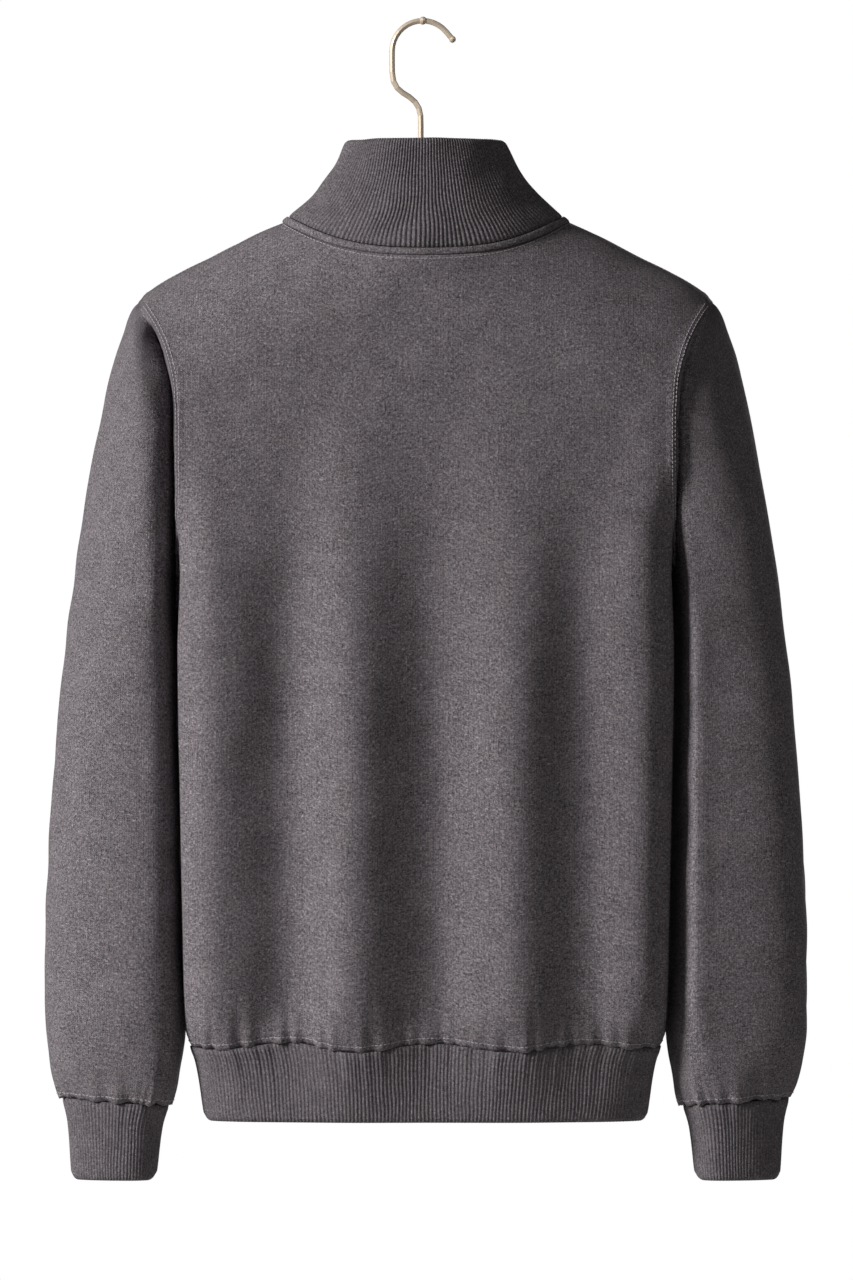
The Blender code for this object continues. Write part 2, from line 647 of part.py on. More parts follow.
def tube_section(turns, outer_point, inner_point, half_depth, shape):
    """A rounded section between an outer and an inner point.

    shape holds the crest's place, the powers of the inner and outer part and the outer lean.
    Each part is a quarter of a superellipse. Their middle line runs straight out from the
    crest and then leans to the front; inwards it bends to the front with the square of the way.
    """
    crest, inner_power, outer_power, lean = shape
    is_outer = np.cos(turns) > 0.0
    radius = np.where(is_outer, ring_radius(turns, outer_power), ring_radius(turns, inner_power))
    reach = np.abs(radius * np.cos(turns))
    along = np.where(is_outer, (1.0 - crest) * (1.0 - reach), 1.0 - crest + crest * reach)
    line = outer_point + (inner_point - outer_point) * along[:, None]
    bend = (inner_point[1] - outer_point[1]) * reach ** 2
    line[:, 1] = outer_point[1] + np.where(is_outer, 0.0, bend)
    width = np.abs(outer_point[0] - inner_point[0]) * (1.0 - crest)
    leans = lean * width * (reach - reach ** 4 / 4.0) * smooth_step(reach / LEAN_STARTS)
    line[:, 1] += np.where(is_outer, leans, 0.0)
    line[:, 1] -= half_depth * radius * np.sin(turns)
    return line


def sleeve_shape(side):
    """The section's shape of one sleeve: 0 is the left one, 1 the right one."""
    return CRESTS[side], INNER_POWERS[side], OUTER_POWERS[side], OUTER_LEANS[side]


def head_section(share, turns, side):
    """The sleeve head's section at a share of the way from the armhole to the level tube."""
    outer_z = SHOULDER_POINT_Z + (TUBE_TOP["z"] - SHOULDER_POINT_Z) * share
    inner_z = UNDERARM_Z + (TUBE_TOP["z"] - UNDERARM_Z) * share
    middle = (TUBE_TOP["centre_y"] + SHIFTS[side]) * smooth_step(share)
    outer_point = np.array([read_table(HEAD, HEAD_COLUMNS, outer_z, "x"), middle, outer_z])
    inner_point = np.array([read_table(UNDER, UNDER_COLUMNS, share, "x") + INNER_CLEAR * share,
                            middle + INNER_BACKS[side] * smooth_step(share * BACK_GROWS),
                            inner_z])
    half_depth = ARMHOLE_DEPTH + (TUBE_TOP["half_depth"] - ARMHOLE_DEPTH) * share
    return tube_section(turns, outer_point, inner_point, half_depth, sleeve_shape(side))


def armhole_dive(points, turns, side):
    """How far the sleeve dives in beside the armhole, at each point of a row.

    It is steep for the first millimetres from the seam, then rises again over its reach. It
    grows from the shoulder down and fades below the underarm.
    """
    x, z = points[:, 0], points[:, 2]
    off = x - read_table(ARMHOLE, ARMHOLE_COLUMNS, np.maximum(z, ARMHOLE_LOW_Z), "x")
    depth = np.where(turns <= math.pi, BACK_DIVES[side], -FRONT_DIVE)
    grows = smooth_step((SHOULDER_POINT_Z - DIVE_START - z) / DIVE_GROWS)
    fades = 1.0 - smooth_step((UNDERARM_Z - z) / DIVE_FADES)
    reach = DIVE_REACHES[side] * (0.5 + 0.5 * grows)
    form = smooth_step(off / DIVE_STEEP) * (1.0 - smooth_step(off / reach))
    return depth * grows * fades * form * smooth_step(np.abs(np.sin(turns)) / DIVE_SIDES)


def sleeve_rows(hand):
    """A sleeve's outer points: the head from the armhole, then the level tube to the cuff.

    The head is its own section plus what the armhole's points differ from it, which dies away.
    Beside the armhole the cloth dives in, in a crease on the back and on the front.
    """
    side = (hand + 1) // 2
    turns = sleeve_turns()
    loop = armhole_loop(1)[0]
    first = head_section(0.0, turns, side)
    rows = []
    for share in HEAD_ROWS:
        left_over = 1.0 - smooth_step(share / HEAD_SETTLES)
        row = head_section(share, turns, side) + left_over * (loop - first)
        row[:, 1] += armhole_dive(row, turns, side) * (share > 0.0)
        rows.append(row)
    alternate = np.where(np.arange(len(turns)) % 2 == 0, -1.0, 1.0)
    for z, outer_x, inner_x, centre_y, half_depth in SLEEVE[1:]:
        above_seam = (z - CUFF_SEAM_Z) / CUFF_SEAM_REACH
        pucker = GATHER * smooth_step(1.0 - above_seam) * (z > CUFF_SEAM_Z)
        swell = pucker * alternate
        free = smooth_step((z - CUFF_SEAM_Z) / CUFF_BLEND)
        shape = tuple(at_cuff + (at_arm - at_cuff) * free
                      for at_cuff, at_arm in zip(CUFF_SHAPE, sleeve_shape(side)))
        centre_y += SHIFTS[side] * free
        row = tube_section(turns, np.array([outer_x, centre_y, z]),
                           np.array([inner_x + INNER_CLEAR * free,
                                     centre_y + INNER_BACKS[side] * free, z]),
                           half_depth, shape)
        middle = np.array([(outer_x + inner_x) / 2.0, centre_y, z])
        row = middle + (row - middle) * (1.0 + swell / half_depth)[:, None]
        tilt = CUFF_SEAM_TILT * smooth_step(1.0 - above_seam)
        row[:, 2] += tilt * (row[:, 0] - middle[0])
        rows.append(row)
    return np.stack(rows) * (hand, 1.0, 1.0)


def tube_directions(points):
    """Outward directions of a closed grid round a tube."""
    directions = grid_normals(points, True)
    middle = points.mean(axis=1, keepdims=True)
    outward = np.sum(directions * (points - middle), axis=2).mean()
    return directions * np.sign(outward)


def build_sleeve(name, hand, finish, parts):
    """A sleeve: a closed tube from the armhole to the cuff seam, with a plain inside."""
    outer = sleeve_rows(hand)
    directions = tube_directions(outer)
    directions[0] = armhole_loop(hand)[1]
    directions[-1, :, 2] = 0.0
    directions = unit(directions)
    outer[0, :, 0] += hand * GAP / 2.0
    outer[-1, :, 2] += GAP / 2.0
    inner = outer - WALL * directions
    kept = [0] + list(range(1, len(outer), 2))
    kept += [] if kept[-1] == len(outer) - 1 else [len(outer) - 1]
    cloth_wall(name, outer, inner[kept], True, finish, parts)


def build_cuff(name, hand, finish, parts):
    """A rib cuff: ribs stand out of a superellipse tube whose inside is plain."""
    turns = even_turns(CUFF[1], 2 * CUFF_RIBS)
    rows = []
    for z, outer_x, inner_x, centre_y, half_depth in CUFF:
        row = tube_section(turns, np.array([outer_x, centre_y, z]),
                           np.array([inner_x, centre_y, z]), half_depth, CUFF_SHAPE)
        if z == CUFF_SEAM_Z:
            row[:, 2] += CUFF_SEAM_TILT * (row[:, 0] - (outer_x + inner_x) / 2.0) - GAP / 2.0
        rows.append(row)
    foot = np.stack(rows) * (hand, 1.0, 1.0)
    directions = tube_directions(foot)
    directions[0, :, 2] = 0.0
    directions = unit(directions)
    outer = foot.copy()
    outer[:, 1::2] += RIB_HEIGHT * directions[:, 1::2]
    inner = foot - RIB_WALL * directions
    step = 4
    columns = (even(len(turns), True), even(len(turns), True)[::step])
    cloth_wall(name, outer, inner[:, ::step], True, finish, parts, columns=columns)


def even_turns(section, count):
    """Angles round a section that part it into equal lengths."""
    _, outer_x, inner_x, _, half_depth = section
    fine = np.linspace(0.0, 2.0 * math.pi, 721)
    ring = tube_section(fine, np.array([outer_x - inner_x, 0.0, 0.0]), np.zeros(3), half_depth,
                        CUFF_SHAPE)
    steps = np.linalg.norm(np.diff(ring, axis=0), axis=1)
    length = np.concatenate([[0.0], np.cumsum(steps)])
    return np.interp(np.arange(count) / count * length[-1], length, fine)


# ---------------------------------------------------------------- the hem rib
def hem_angles(count):
    """Angles round the hem from the left zip edge, by the back, to the right one, evenly."""
    z = HEM_ROWS[1]
    fine = np.linspace(-math.pi, math.pi, 1441)
    x, y = hem_ring(fine, z)
    length = np.concatenate([[0.0], np.cumsum(np.hypot(np.diff(x), np.diff(y)))])
    at_edge = (y > 0) & (np.abs(x) < 40.0)
    left, right = at_edge & (x < 0), at_edge & (x > 0)
    first = np.interp(ZIP_EDGE, -x[left], length[left])
    last = np.interp(ZIP_EDGE, x[right][::-1], length[right][::-1])
    return np.interp(np.linspace(first, last, count), length, fine)


def hem_ring(angle, z):
    """x and y of the body's ring at an angle round it, 0 at the centre back."""
    front = np.abs(angle) > math.pi / 2
    power = np.where(front, body_at(z, "front_power"), body_at(z, "back_power"))
    widest = body_at(z, "widest")
    depth = np.where(front, body_at(z, "front") - widest, body_at(z, "back") + widest)
    radius = ring_radius(angle, power)
    return body_at(z, "half_width") * radius * np.sin(angle), \
        widest - depth * radius * np.cos(angle)


def seam_height(x, is_front):
    """The hem seam's height on the panels' chords, so that the rib meets them evenly."""
    knots_x, knots_z = [], []
    for hand in (-1, 1):
        row = half_panel(is_front, hand)[-1]
        knots_x += list(row[:, 0])
        knots_z += list(row[:, 2])
    order = np.argsort(knots_x)
    return np.interp(x, np.array(knots_x)[order], np.array(knots_z)[order])


def panel_angles():
    """The angles of the panels' columns round the hem seam."""
    half = body_at(HEM_SEAM_Z, "half_width")
    angles = []
    for is_front in (False, True):
        side, sign = ("front", 1.0) if is_front else ("back", -1.0)
        x = panel_x(panel_columns(is_front), half, is_front) / half
        angles.append(np.arctan2(x, -sign * arch(x, body_at(HEM_SEAM_Z, side + "_power"))))
    back, front = angles
    right = np.concatenate([back, front[::-1][1:]])
    return np.concatenate([-right[::-1][:-1], right])


def hem_foot(angle):
    """The hem rib's points between its ribs, rows from the seam down."""
    is_front = np.abs(angle) > math.pi / 2
    rows = []
    for z in HEM_ROWS:
        x, y = hem_ring(angle, z)
        x[0], x[-1] = -ZIP_EDGE, ZIP_EDGE
        faded = smooth_step((HEM_SEAM_Z - z) / (HEM_SEAM_Z - HEM_BOTTOM_Z))
        left = FOLD_AT_SEAM * (1.0 - (1.0 - FOLD_IN_RIB) * faded)
        full = np.full_like(x, FOLD_FULL_Z)
        swing_back = fold_swing(x, HEM_SEAM_Z, False) * fold_depth(x, full, BACK_FOLDS)
        swing_front = fold_swing(x, HEM_SEAM_Z, True) * fold_depth(x, full, FRONT_FOLDS)
        y = y + left * np.where(is_front, swing_front, -swing_back)
        height = np.full_like(x, z)
        if z == HEM_SEAM_Z:
            height = np.where(is_front, seam_height(x, True), seam_height(x, False)) - GAP / 2.0
        rows.append(np.stack([x, y, height], axis=1))
    return np.stack(rows)


def hem_directions(foot):
    """Level outward directions round the hem."""
    directions = grid_normals(foot, False)
    outward = np.sum(directions[..., :2] * foot[..., :2], axis=2).mean()
    directions = directions * np.sign(outward)
    directions[..., 2] = 0.0
    directions[:, (0, -1), 0] = 0.0
    return unit(directions)


def build_hem(finish, parts):
    """The hem rib: the folds of the body die out in it. Its inside keeps the panels' columns."""
    angle = hem_angles(2 * HEM_RIBS + 1)
    outer = hem_foot(angle)
    outer[:, 1::2] += RIB_HEIGHT * hem_directions(outer)[:, 1::2]
    knots = panel_angles()
    inner = hem_foot(knots)
    inner = inner - RIB_WALL * hem_directions(inner)
    cloth_wall("hem_rib", outer, inner, False, finish, parts,
               columns=(share_of(angle), share_of(knots)))


# ---------------------------------------------------------------- the collar and its welt
def collar_point(angle, share):
    """A point of the collar: round its ring at an angle, and down it at a share.

    The angles close up a little towards the top, so that the front edges run straight down.
    """
    seam_angle = angle
    half_width = read_table(COLLAR, COLLAR_COLUMNS, share, "half_width")
    angle = angle * (math.pi - ZIP_EDGE / half_width) / (math.pi - ZIP_EDGE / NECK_HALF_WIDTH)
    front = np.abs(angle) > math.pi / 2
    power = read_table(COLLAR, COLLAR_COLUMNS, share, "power")
    depth = np.where(front, read_table(COLLAR, COLLAR_COLUMNS, share, "front"),
                     read_table(COLLAR, COLLAR_COLUMNS, share, "back"))
    radius = ring_radius(angle, power)
    x = half_width * radius * np.sin(angle)
    y = -depth * radius * np.cos(angle)
    frontness = smooth_step(-np.cos(angle))
    top = COLLAR_TOP_Z + (COLLAR_TOP_FRONT_Z - COLLAR_TOP_Z) * frontness
    base_x = NECK_HALF_WIDTH * ring_radius(angle, NECK_POWER) * np.sin(angle)
    base = np.where(front, neck_height(base_x, True), neck_height(base_x, False))
    smooth = np.stack([x, y, top + (base - top) * share], axis=-1)
    smooth_base = np.stack([base_x, -np.where(front, NECK_FRONT, NECK_BACK)
                            * ring_radius(angle, NECK_POWER) * np.cos(angle), base], axis=-1)
    return smooth + (on_neck(seam_angle) - smooth_base) * np.asarray(share)[..., None] ** 6


def collar_grid(angles, shares):
    """Collar points for every share and angle; shares may hold a value for each angle."""
    rows = [collar_point(angles, np.broadcast_to(share, angles.shape)) for share in shares]
    return np.stack(rows)


def collar_directions(angles, shares):
    """Outward directions on the collar, from small steps round it and down it."""
    step = 1e-3
    rows = []
    for share in shares:
        share = np.broadcast_to(share, angles.shape)
        held = np.clip(share, step, 1.0 - step)
        down = collar_point(angles, held + step) - collar_point(angles, held - step)
        wide = 40.0 * step
        across = collar_point(angles + wide, held) - collar_point(angles - wide, held)
        normal = unit(np.cross(down, across))
        outward = np.stack([np.sin(angles), -np.cos(angles), np.zeros_like(angles)], axis=-1)
        normal = normal * np.sign(np.sum(normal * outward, axis=-1))[:, None]
        near_seam = smooth_step((share - 0.8) / 0.2)[:, None]
        rows.append(unit(normal * (1.0 - near_seam) + neck_direction(angles) * near_seam))
    directions = np.stack(rows)
    directions[:, (0, -1), 0] = 0.0
    return unit(directions)


def neck_angles(count):
    """Even steps along the neck seam from the left zip edge, by the back, to the right."""
    angles, points = neck_loop()
    length = np.concatenate([[0.0], np.cumsum(np.linalg.norm(np.diff(points, axis=0), axis=1))])
    return np.interp(np.linspace(0.0, length[-1], count), length, angles)


def welt_share(angles):
    """Where the welt begins on the collar: its height is the same all round."""
    height = collar_point(angles, np.zeros_like(angles)) - collar_point(angles,
                                                                        np.ones_like(angles))
    return 1.0 - WELT_HEIGHT / np.linalg.norm(height, axis=-1)


def gap_share(angles):
    """Half the gap above and below the welt, as a share of the collar's height."""
    return (1.0 - welt_share(angles)) / WELT_HEIGHT * WELT_GAP / 2.0


def straighten_edges(grid):
    """Hold the two front edges at the zip."""
    grid[:, 0, 0] = -ZIP_EDGE
    grid[:, -1, 0] = ZIP_EDGE
    return grid


def collar_inside(steps, is_welt):
    """The plain inside of the collar or of its welt, with the neck seam's own columns."""
    knots = neck_loop()[0]
    if is_welt:
        first, last = welt_share(knots) + gap_share(knots), 1.0 - gap_share(knots)
    else:
        first, last = np.zeros_like(knots), welt_share(knots) - gap_share(knots)
    shares = [first + (last - first) * step for step in steps]
    return straighten_edges(collar_grid(knots, shares)) - RIB_WALL * collar_directions(knots,
                                                                                     shares)


def build_collar(finish, parts):
    """The stand collar: ribs run up it, and it flares to the shoulders."""
    angles = neck_angles(2 * COLLAR_RIBS + 1)
    last = welt_share(angles) - gap_share(angles)
    shares = [last * part for part in (0.0, 0.3, 0.58, 0.82, 1.0)]
    foot = straighten_edges(collar_grid(angles, shares))
    directions = collar_directions(angles, shares)
    outer = foot.copy()
    outer[:, 1::2] += RIB_HEIGHT * directions[:, 1::2]
    cloth_wall("collar", outer, collar_inside((0.0, 0.3, 0.58, 0.82, 1.0), False), False, finish,
               parts, columns=(share_of(angles), share_of(neck_loop()[0])))


def build_welt(finish, parts):
    """The plain roll between the collar's ribs and the neck seam."""
    angles = neck_angles(12 * NECK_STEPS + 1)
    first, last = welt_share(angles) + gap_share(angles), 1.0 - gap_share(angles)
    shares = [first + (last - first) * part for part in (0.0, 0.25, 0.75, 1.0)]
    foot = straighten_edges(collar_grid(angles, shares))
    directions = collar_directions(angles, shares)
    outer = foot + directions * WELT_BULGE * np.array([0.1, 1.0, 1.0, 0.1])[:, None, None]
    cloth_wall("neck_welt", outer, collar_inside((0.0, 1.0), True), False, finish, parts,
               columns=(share_of(angles), share_of(neck_loop()[0])))


# ---------------------------------------------------------------- the zip
def front_line():
    """y and z of the cloth's inside along the zip's edge, from the collar's top to the hem."""
    edge = np.array([math.pi - ZIP_EDGE / NECK_HALF_WIDTH])
    shares = np.linspace(0.0, 1.0, 9)
    collar = np.concatenate([collar_grid(edge, [share]) - RIB_WALL
                             * collar_directions(np.repeat(edge, 3), [share])[:, 1:2]
                             for share in shares])[:, 0]
    panel = half_panel(True, 1)[:, 0] - (0.0, WALL, 0.0)
    hem_y = body_at(HEM_ROWS[1:], "front") - RIB_WALL
    hem = np.stack([np.full_like(hem_y, ZIP_EDGE), hem_y, HEM_ROWS[1:]], axis=1)
    line = np.concatenate([collar[:-1], panel, hem])
    return line[:, 1], line[:, 2]


def strip(name, x_range, front, back, finish, parts):
    """A long strip down the front line, between two depths behind the cloth's inside."""
    y, z = front_line()
    sections = []
    for x, depth in ((x_range[0], front), (x_range[1], front), (x_range[1], back),
                     (x_range[0], back)):
        sections.append(np.stack([np.full_like(y, x), y - depth, z], axis=1))
    points = (np.stack(sections, axis=1).reshape(-1, 3) + (GARMENT_X, 0.0, 0.0)) * MM
    faces = grid_faces(len(y), 4, 0, True)
    faces.append((0, 1, 2, 3))
    faces.append(tuple(4 * (len(y) - 1) + corner for corner in range(4)))
    mesh = bpy.data.meshes.new(name)
    mesh.from_pydata([tuple(point) for point in points], [], faces)
    face_outwards(mesh)
    return add_object(name, mesh, finish, parts)


def block(name, low, high, place, finish, parts, bevel=0.0):
    """A box between two corners, in millimetres, put in its place by a matrix."""
    work = bmesh.new()
    size = [(b - a) * MM for a, b in zip(low, high)]
    middle = [(a + b) / 2.0 * MM for a, b in zip(low, high)]
    bmesh.ops.create_cube(work, size=1.0, matrix=Matrix.Translation(middle)
                          @ Matrix.Diagonal((*size, 1.0)))
    if bevel:
        bmesh.ops.bevel(work, geom=work.edges[:], offset=bevel * MM, segments=1, affect='EDGES')
    mesh = bpy.data.meshes.new(name)
    work.to_mesh(mesh)
    work.free()
    made = add_object(name, mesh, finish, parts)
    made.matrix_world = place
    return made


def joined(target, others):
    """Union other objects into the target, and apply it."""
    for other in others:
        union = target.modifiers.new(other.name, 'BOOLEAN')
        union.operation = 'UNION'
        union.object = other
    bpy.context.view_layer.update()
    evaluated = target.evaluated_get(bpy.context.evaluated_depsgraph_get())
    mesh = bpy.data.meshes.new_from_object(evaluated)
    target.modifiers.clear()
    target.data = mesh
    for other in others:
        bpy.data.objects.remove(other, do_unlink=True)
    return target


def zip_frame(z, span):
    """A frame on the chain's face at a height: x across, y out of the cloth, z up the zip."""
    line_y, line_z = front_line()
    order = np.argsort(line_z)
    y, below = np.interp((z, z - span), line_z[order], line_y[order])
    tilt = math.atan2(below - y, span)
    face = CHAIN_THICKNESS - ZIP_TAPE_CLEARANCE - ZIP_TAPE_THICKNESS
    return Matrix.Translation((GARMENT_X * MM, (y + face) * MM, z * MM)) \
        @ Matrix.Rotation(tilt, 4, 'X')


def build_slider(metal, parts):
    """The slider: a plate over the chain, with a bridge on two posts for the pull's bar."""
    place = zip_frame(SLIDER_Z, SLIDER_SPAN)
    slider = block("zip_slider", *SLIDER_PLATE, place, metal, parts, bevel=0.5)
    others = [block("post", *corners, place, metal, parts)
              for corners in (*SLIDER_POSTS, SLIDER_BRIDGE)]
    joined(slider, others)
    pull_place = place @ Matrix.Translation([value * MM for value in PULL_AXIS])
    pull = block("zip_pull", *PULL_BAR, pull_place, metal, parts)
    others = [block("leg", *corners, pull_place, metal, parts)
              for corners in (*PULL_LEGS, PULL_TAB)]
    joined(pull, others)


def build_zip(tape, metal, parts):
    """Tapes behind the cloth's edges, the chain between them, and the metal pieces on it."""
    behind = ZIP_TAPE_CLEARANCE + ZIP_TAPE_THICKNESS
    strip("zip_tape_left", (-ZIP_TAPE_OUTER, -ZIP_TAPE_EDGE), ZIP_TAPE_CLEARANCE, behind, tape,
          parts)
    strip("zip_tape_right", (ZIP_TAPE_EDGE, ZIP_TAPE_OUTER), ZIP_TAPE_CLEARANCE, behind, tape,
          parts)
    strip("zip_chain", (-CHAIN_HALF_WIDTH, CHAIN_HALF_WIDTH), behind - CHAIN_THICKNESS, behind,
          metal, parts)
    build_slider(metal, parts)
    place = zip_frame(HEM_BOTTOM_Z + BOX_SPAN, BOX_SPAN)
    block("zip_box", *BOX_BLOCK, place, metal, parts, bevel=0.4)


# ---------------------------------------------------------------- the hanger
def hook_route():
    """The wire's middle, from the open tip over the crown and down the stem."""
    centre_z = CROWN_MIDDLE_Z - HOOK_RADIUS
    tip = math.radians(90.0 - HOOK_TIP_ANGLE)
    arc = np.linspace(tip, math.pi, 15)
    x = HOOK_RADIUS * np.cos(arc)
    z = centre_z + HOOK_RADIUS * np.sin(arc)
    arc_points = np.stack([x, z], axis=1)
    onward = np.array([math.sin(tip), -math.cos(tip)])
    end = arc_points[0] + HOOK_TIP_LENGTH * onward
    bend = np.array([(-23.5, -29.0), (-23.4, -36.5), (-22.4, -43.5), (-19.6, -48.6),
                     (-15.4, -52.3), (-10.4, -55.4), (-5.9, -59.3), (-2.9, -64.2),
                     (-1.6, -70.0), (STEM_X, -77.0)])
    stem = np.array([(STEM_X, -95.0), (STEM_X, HANGER_TOP_Z + GAP)])
    return np.concatenate([[end], arc_points, bend, stem])


def wire_mesh(name, route, radius):
    """A closed mesh of a wire along points, from a curve with a bevel and filled caps."""
    curve = bpy.data.curves.new(name, 'CURVE')
    curve.dimensions = '3D'
    curve.bevel_depth = radius * MM
    curve.bevel_resolution = 2
    curve.use_fill_caps = True
    spline = curve.splines.new('POLY')
    spline.points.add(len(route) - 1)
    for point, place in zip(spline.points, route):
        point.co = (*(value * MM for value in place), 1.0)
    holder = bpy.data.objects.new(name, curve)
    bpy.context.scene.collection.objects.link(holder)
    bpy.context.view_layer.update()
    evaluated = holder.evaluated_get(bpy.context.evaluated_depsgraph_get())
    mesh = bpy.data.meshes.new_from_object(evaluated)
    bpy.data.objects.remove(holder, do_unlink=True)
    work = bmesh.new()
    work.from_mesh(mesh)
    bmesh.ops.remove_doubles(work, verts=work.verts[:], dist=1e-6)
    bmesh.ops.recalc_face_normals(work, faces=work.faces[:])
    work.to_mesh(mesh)
    work.free()
    mesh.shade_smooth()
    mesh.set_sharp_from_angle(angle=math.radians(50.0))
    return mesh


def ball(name, centre, radius, finish, parts):
    """A small sphere at a centre in millimetres."""
    work = bmesh.new()
    bmesh.ops.create_uvsphere(work, u_segments=10, v_segments=6, radius=radius * MM,
                              matrix=Matrix.Translation([value * MM for value in centre]))
    mesh = bpy.data.meshes.new(name)
    work.to_mesh(mesh)
    work.free()
    return add_object(name, mesh, finish, parts)


def build_hanger(wood, brass, parts):
    """The hook, with the bead on its crown and its rounded tip, and the arms in the shoulders."""
    route = hook_route()
    points = [(x, 0.0, z) for x, z in route]
    hook = add_object("hanger_hook", wire_mesh("hanger_hook", points, HOOK_WIRE / 2.0), brass,
                      parts)
    tip = ball("tip", points[0], 2.75, brass, parts)
    bead = ball("bead", (0.3, 0.0, 3.2), 3.2, brass, parts)
    joined(hook, [tip, bead])
    arms = []
    for share in np.linspace(-1.0, 1.0, 17):
        x = HANGER_REACH * share
        seam_z = np.interp(abs(x), *SHOULDER.T)
        under = seam_z - HANGER_DROP - HANGER_END_DROP * abs(share) ** 8
        peak = HANGER_TOP_Z - HANGER_RADIUS
        blend = smooth_step((abs(x) - 5.0) / 115.0)
        line = peak - abs(x) * 0.36
        arms.append((x + GARMENT_X, 0.0, line + (under - line) * blend))
    body = wire_mesh("hanger_body", arms, HANGER_RADIUS)
    add_object("hanger_body", body, wood, parts)


def main():
    """Model every piece into one collection."""
    clear_scene()
    parts = collection("knit_zip_jacket")
    cloth = material("milled_knit", CLOTH_COLOUR, 0.95)
    rib = material("rib_knit", RIB_COLOUR, 0.95)
    tape = material("zip_tape", TAPE_COLOUR, 0.9)
    brass = material("brass", BRASS_COLOUR, 0.3, 1.0)
    wood = material("wood", WOOD_COLOUR, 0.55)
    build_body(cloth, parts)
    for hand, side in ((-1, "left"), (1, "right")):
        build_sleeve("sleeve_" + side, hand, cloth, parts)
        build_cuff("cuff_" + side, hand, rib, parts)
    build_collar(rib, parts)
    build_welt(cloth, parts)
    build_hem(rib, parts)
    build_zip(tape, brass, parts)
    build_hanger(wood, brass, parts)


main()
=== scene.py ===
# %% [markdown]
# # A knit zip jacket on a hanger
#
# The jacket hangs by a wire hook and shows its back. It is sewn from a back, two fronts, two
# sleeves, a ribbed stand collar with a plain welt below it, a ribbed hem and two ribbed cuffs.
# A zip closes the front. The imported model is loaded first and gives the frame: every piece
# below lies where its solid lies, with finer folds, more ribs, stitches and zip teeth.
# Lengths in the tables are in millimetres.

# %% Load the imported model
import math

import bpy
import numpy as np
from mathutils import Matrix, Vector


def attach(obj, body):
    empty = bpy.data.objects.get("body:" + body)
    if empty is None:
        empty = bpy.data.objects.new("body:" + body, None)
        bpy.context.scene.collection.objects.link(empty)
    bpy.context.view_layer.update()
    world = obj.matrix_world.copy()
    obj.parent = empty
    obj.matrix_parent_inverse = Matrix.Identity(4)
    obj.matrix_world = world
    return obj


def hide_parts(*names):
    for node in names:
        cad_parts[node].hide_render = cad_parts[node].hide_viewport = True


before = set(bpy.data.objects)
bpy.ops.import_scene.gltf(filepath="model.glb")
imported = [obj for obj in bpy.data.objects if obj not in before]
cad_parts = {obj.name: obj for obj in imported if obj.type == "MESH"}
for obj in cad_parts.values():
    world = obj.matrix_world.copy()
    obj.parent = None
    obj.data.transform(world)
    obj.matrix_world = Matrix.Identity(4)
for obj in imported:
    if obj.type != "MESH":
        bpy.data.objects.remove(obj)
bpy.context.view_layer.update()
MM = 0.001
GARMENT_X = 2.4          # the garment hangs a little off the hook's middle
SEAM_GAP = 0.3           # between two pieces
HANDS = ((-1, "left"), (1, "right"))     # the wearer's: the sign of x, and the name

# %% [markdown]
# ## The sizes
#
# A maker grades a pattern from a few measures. These are the jacket's: the shoulder seam, the
# rings round the body at several heights, the armhole's edge, the sleeve's rings, the cuff's
# and the collar's, and the long folds in which the body hangs.

# %% Measures of the body
NECK_HALF_WIDTH, NECK_BACK, NECK_FRONT = 110.6, 72.0, 84.0
NECK_SIDE_Z, NECK_BACK_Z, NECK_FRONT_Z, NECK_POWER = -152.6, -180.3, -206.0, 2.3
SHOULDER_POINT_Z, UNDERARM_Z, UPPER_END_Z = -214.0, -420.0, -440.0
ARMHOLE_LOW_Z = -419.0
HEM_SEAM_Z, HEM_BOTTOM_Z, ZIP_EDGE = -785.0, -842.0, 5.5
WALL, RIB_WALL = 1.8, 2.0
ROLL_DROP, ROLL_POWER, RIDGE_SLOPE, RIDGE_BEND = 100.0, 1.8, 0.455, 0.00113
# x, z
SHOULDER = np.array([(110.6, -152.6), (133.0, -162.8), (169.0, -181.0), (188.0, -190.4),
                     (205.0, -199.8), (215.0, -207.2), (220.6, -214.0)])
BODY_COLUMNS = ("z", "half_width", "back", "front", "widest", "back_power", "front_power")
BODY = np.array([
    (-214.0, 220.6, 73.0, 84.0,   0.0, 3.0, 3.0),
    (-300.0, 191.5, 77.0, 90.0,   0.0, 3.0, 3.0),
    (-340.0, 191.0, 78.0, 92.0,   0.0, 3.6, 3.0),
    (-370.0, 190.5, 79.0, 93.0,   0.0, 4.6, 3.0),
    (-396.0, 190.0, 79.5, 94.0,   0.0, 6.0, 2.9),
    (-420.0, 189.3, 80.0, 95.0,   0.0, 7.5, 2.8),
    (-440.0, 190.0, 80.0, 95.5, -11.0, 6.0, 2.6),
    (-460.0, 190.6, 80.0, 95.8, -24.0, 5.0, 2.4),
    (-480.0, 191.0, 80.0, 96.0, -32.0, 4.2, 2.3),
    (-520.0, 190.6, 79.7, 96.0, -37.0, 3.6, 2.3),
    (-600.0, 189.0, 79.0, 95.0, -38.0, 3.4, 2.3),
    (-700.0, 187.0, 78.0, 92.0, -37.0, 3.4, 2.3),
    (-750.0, 185.8, 77.0, 89.0, -33.0, 3.3, 2.3),
    (-773.0, 184.2, 75.0, 86.0, -25.0, 3.1, 2.4),
    (-785.0, 180.5, 72.0, 83.0, -20.0, 3.0, 2.4),
    (-795.0, 176.6, 71.0, 81.0, -16.0, 3.0, 2.4),
    (-842.0, 169.5, 68.0, 77.0, -10.0, 3.0, 2.4)])
ARMHOLE_COLUMNS = ("z", "x", "back", "front")
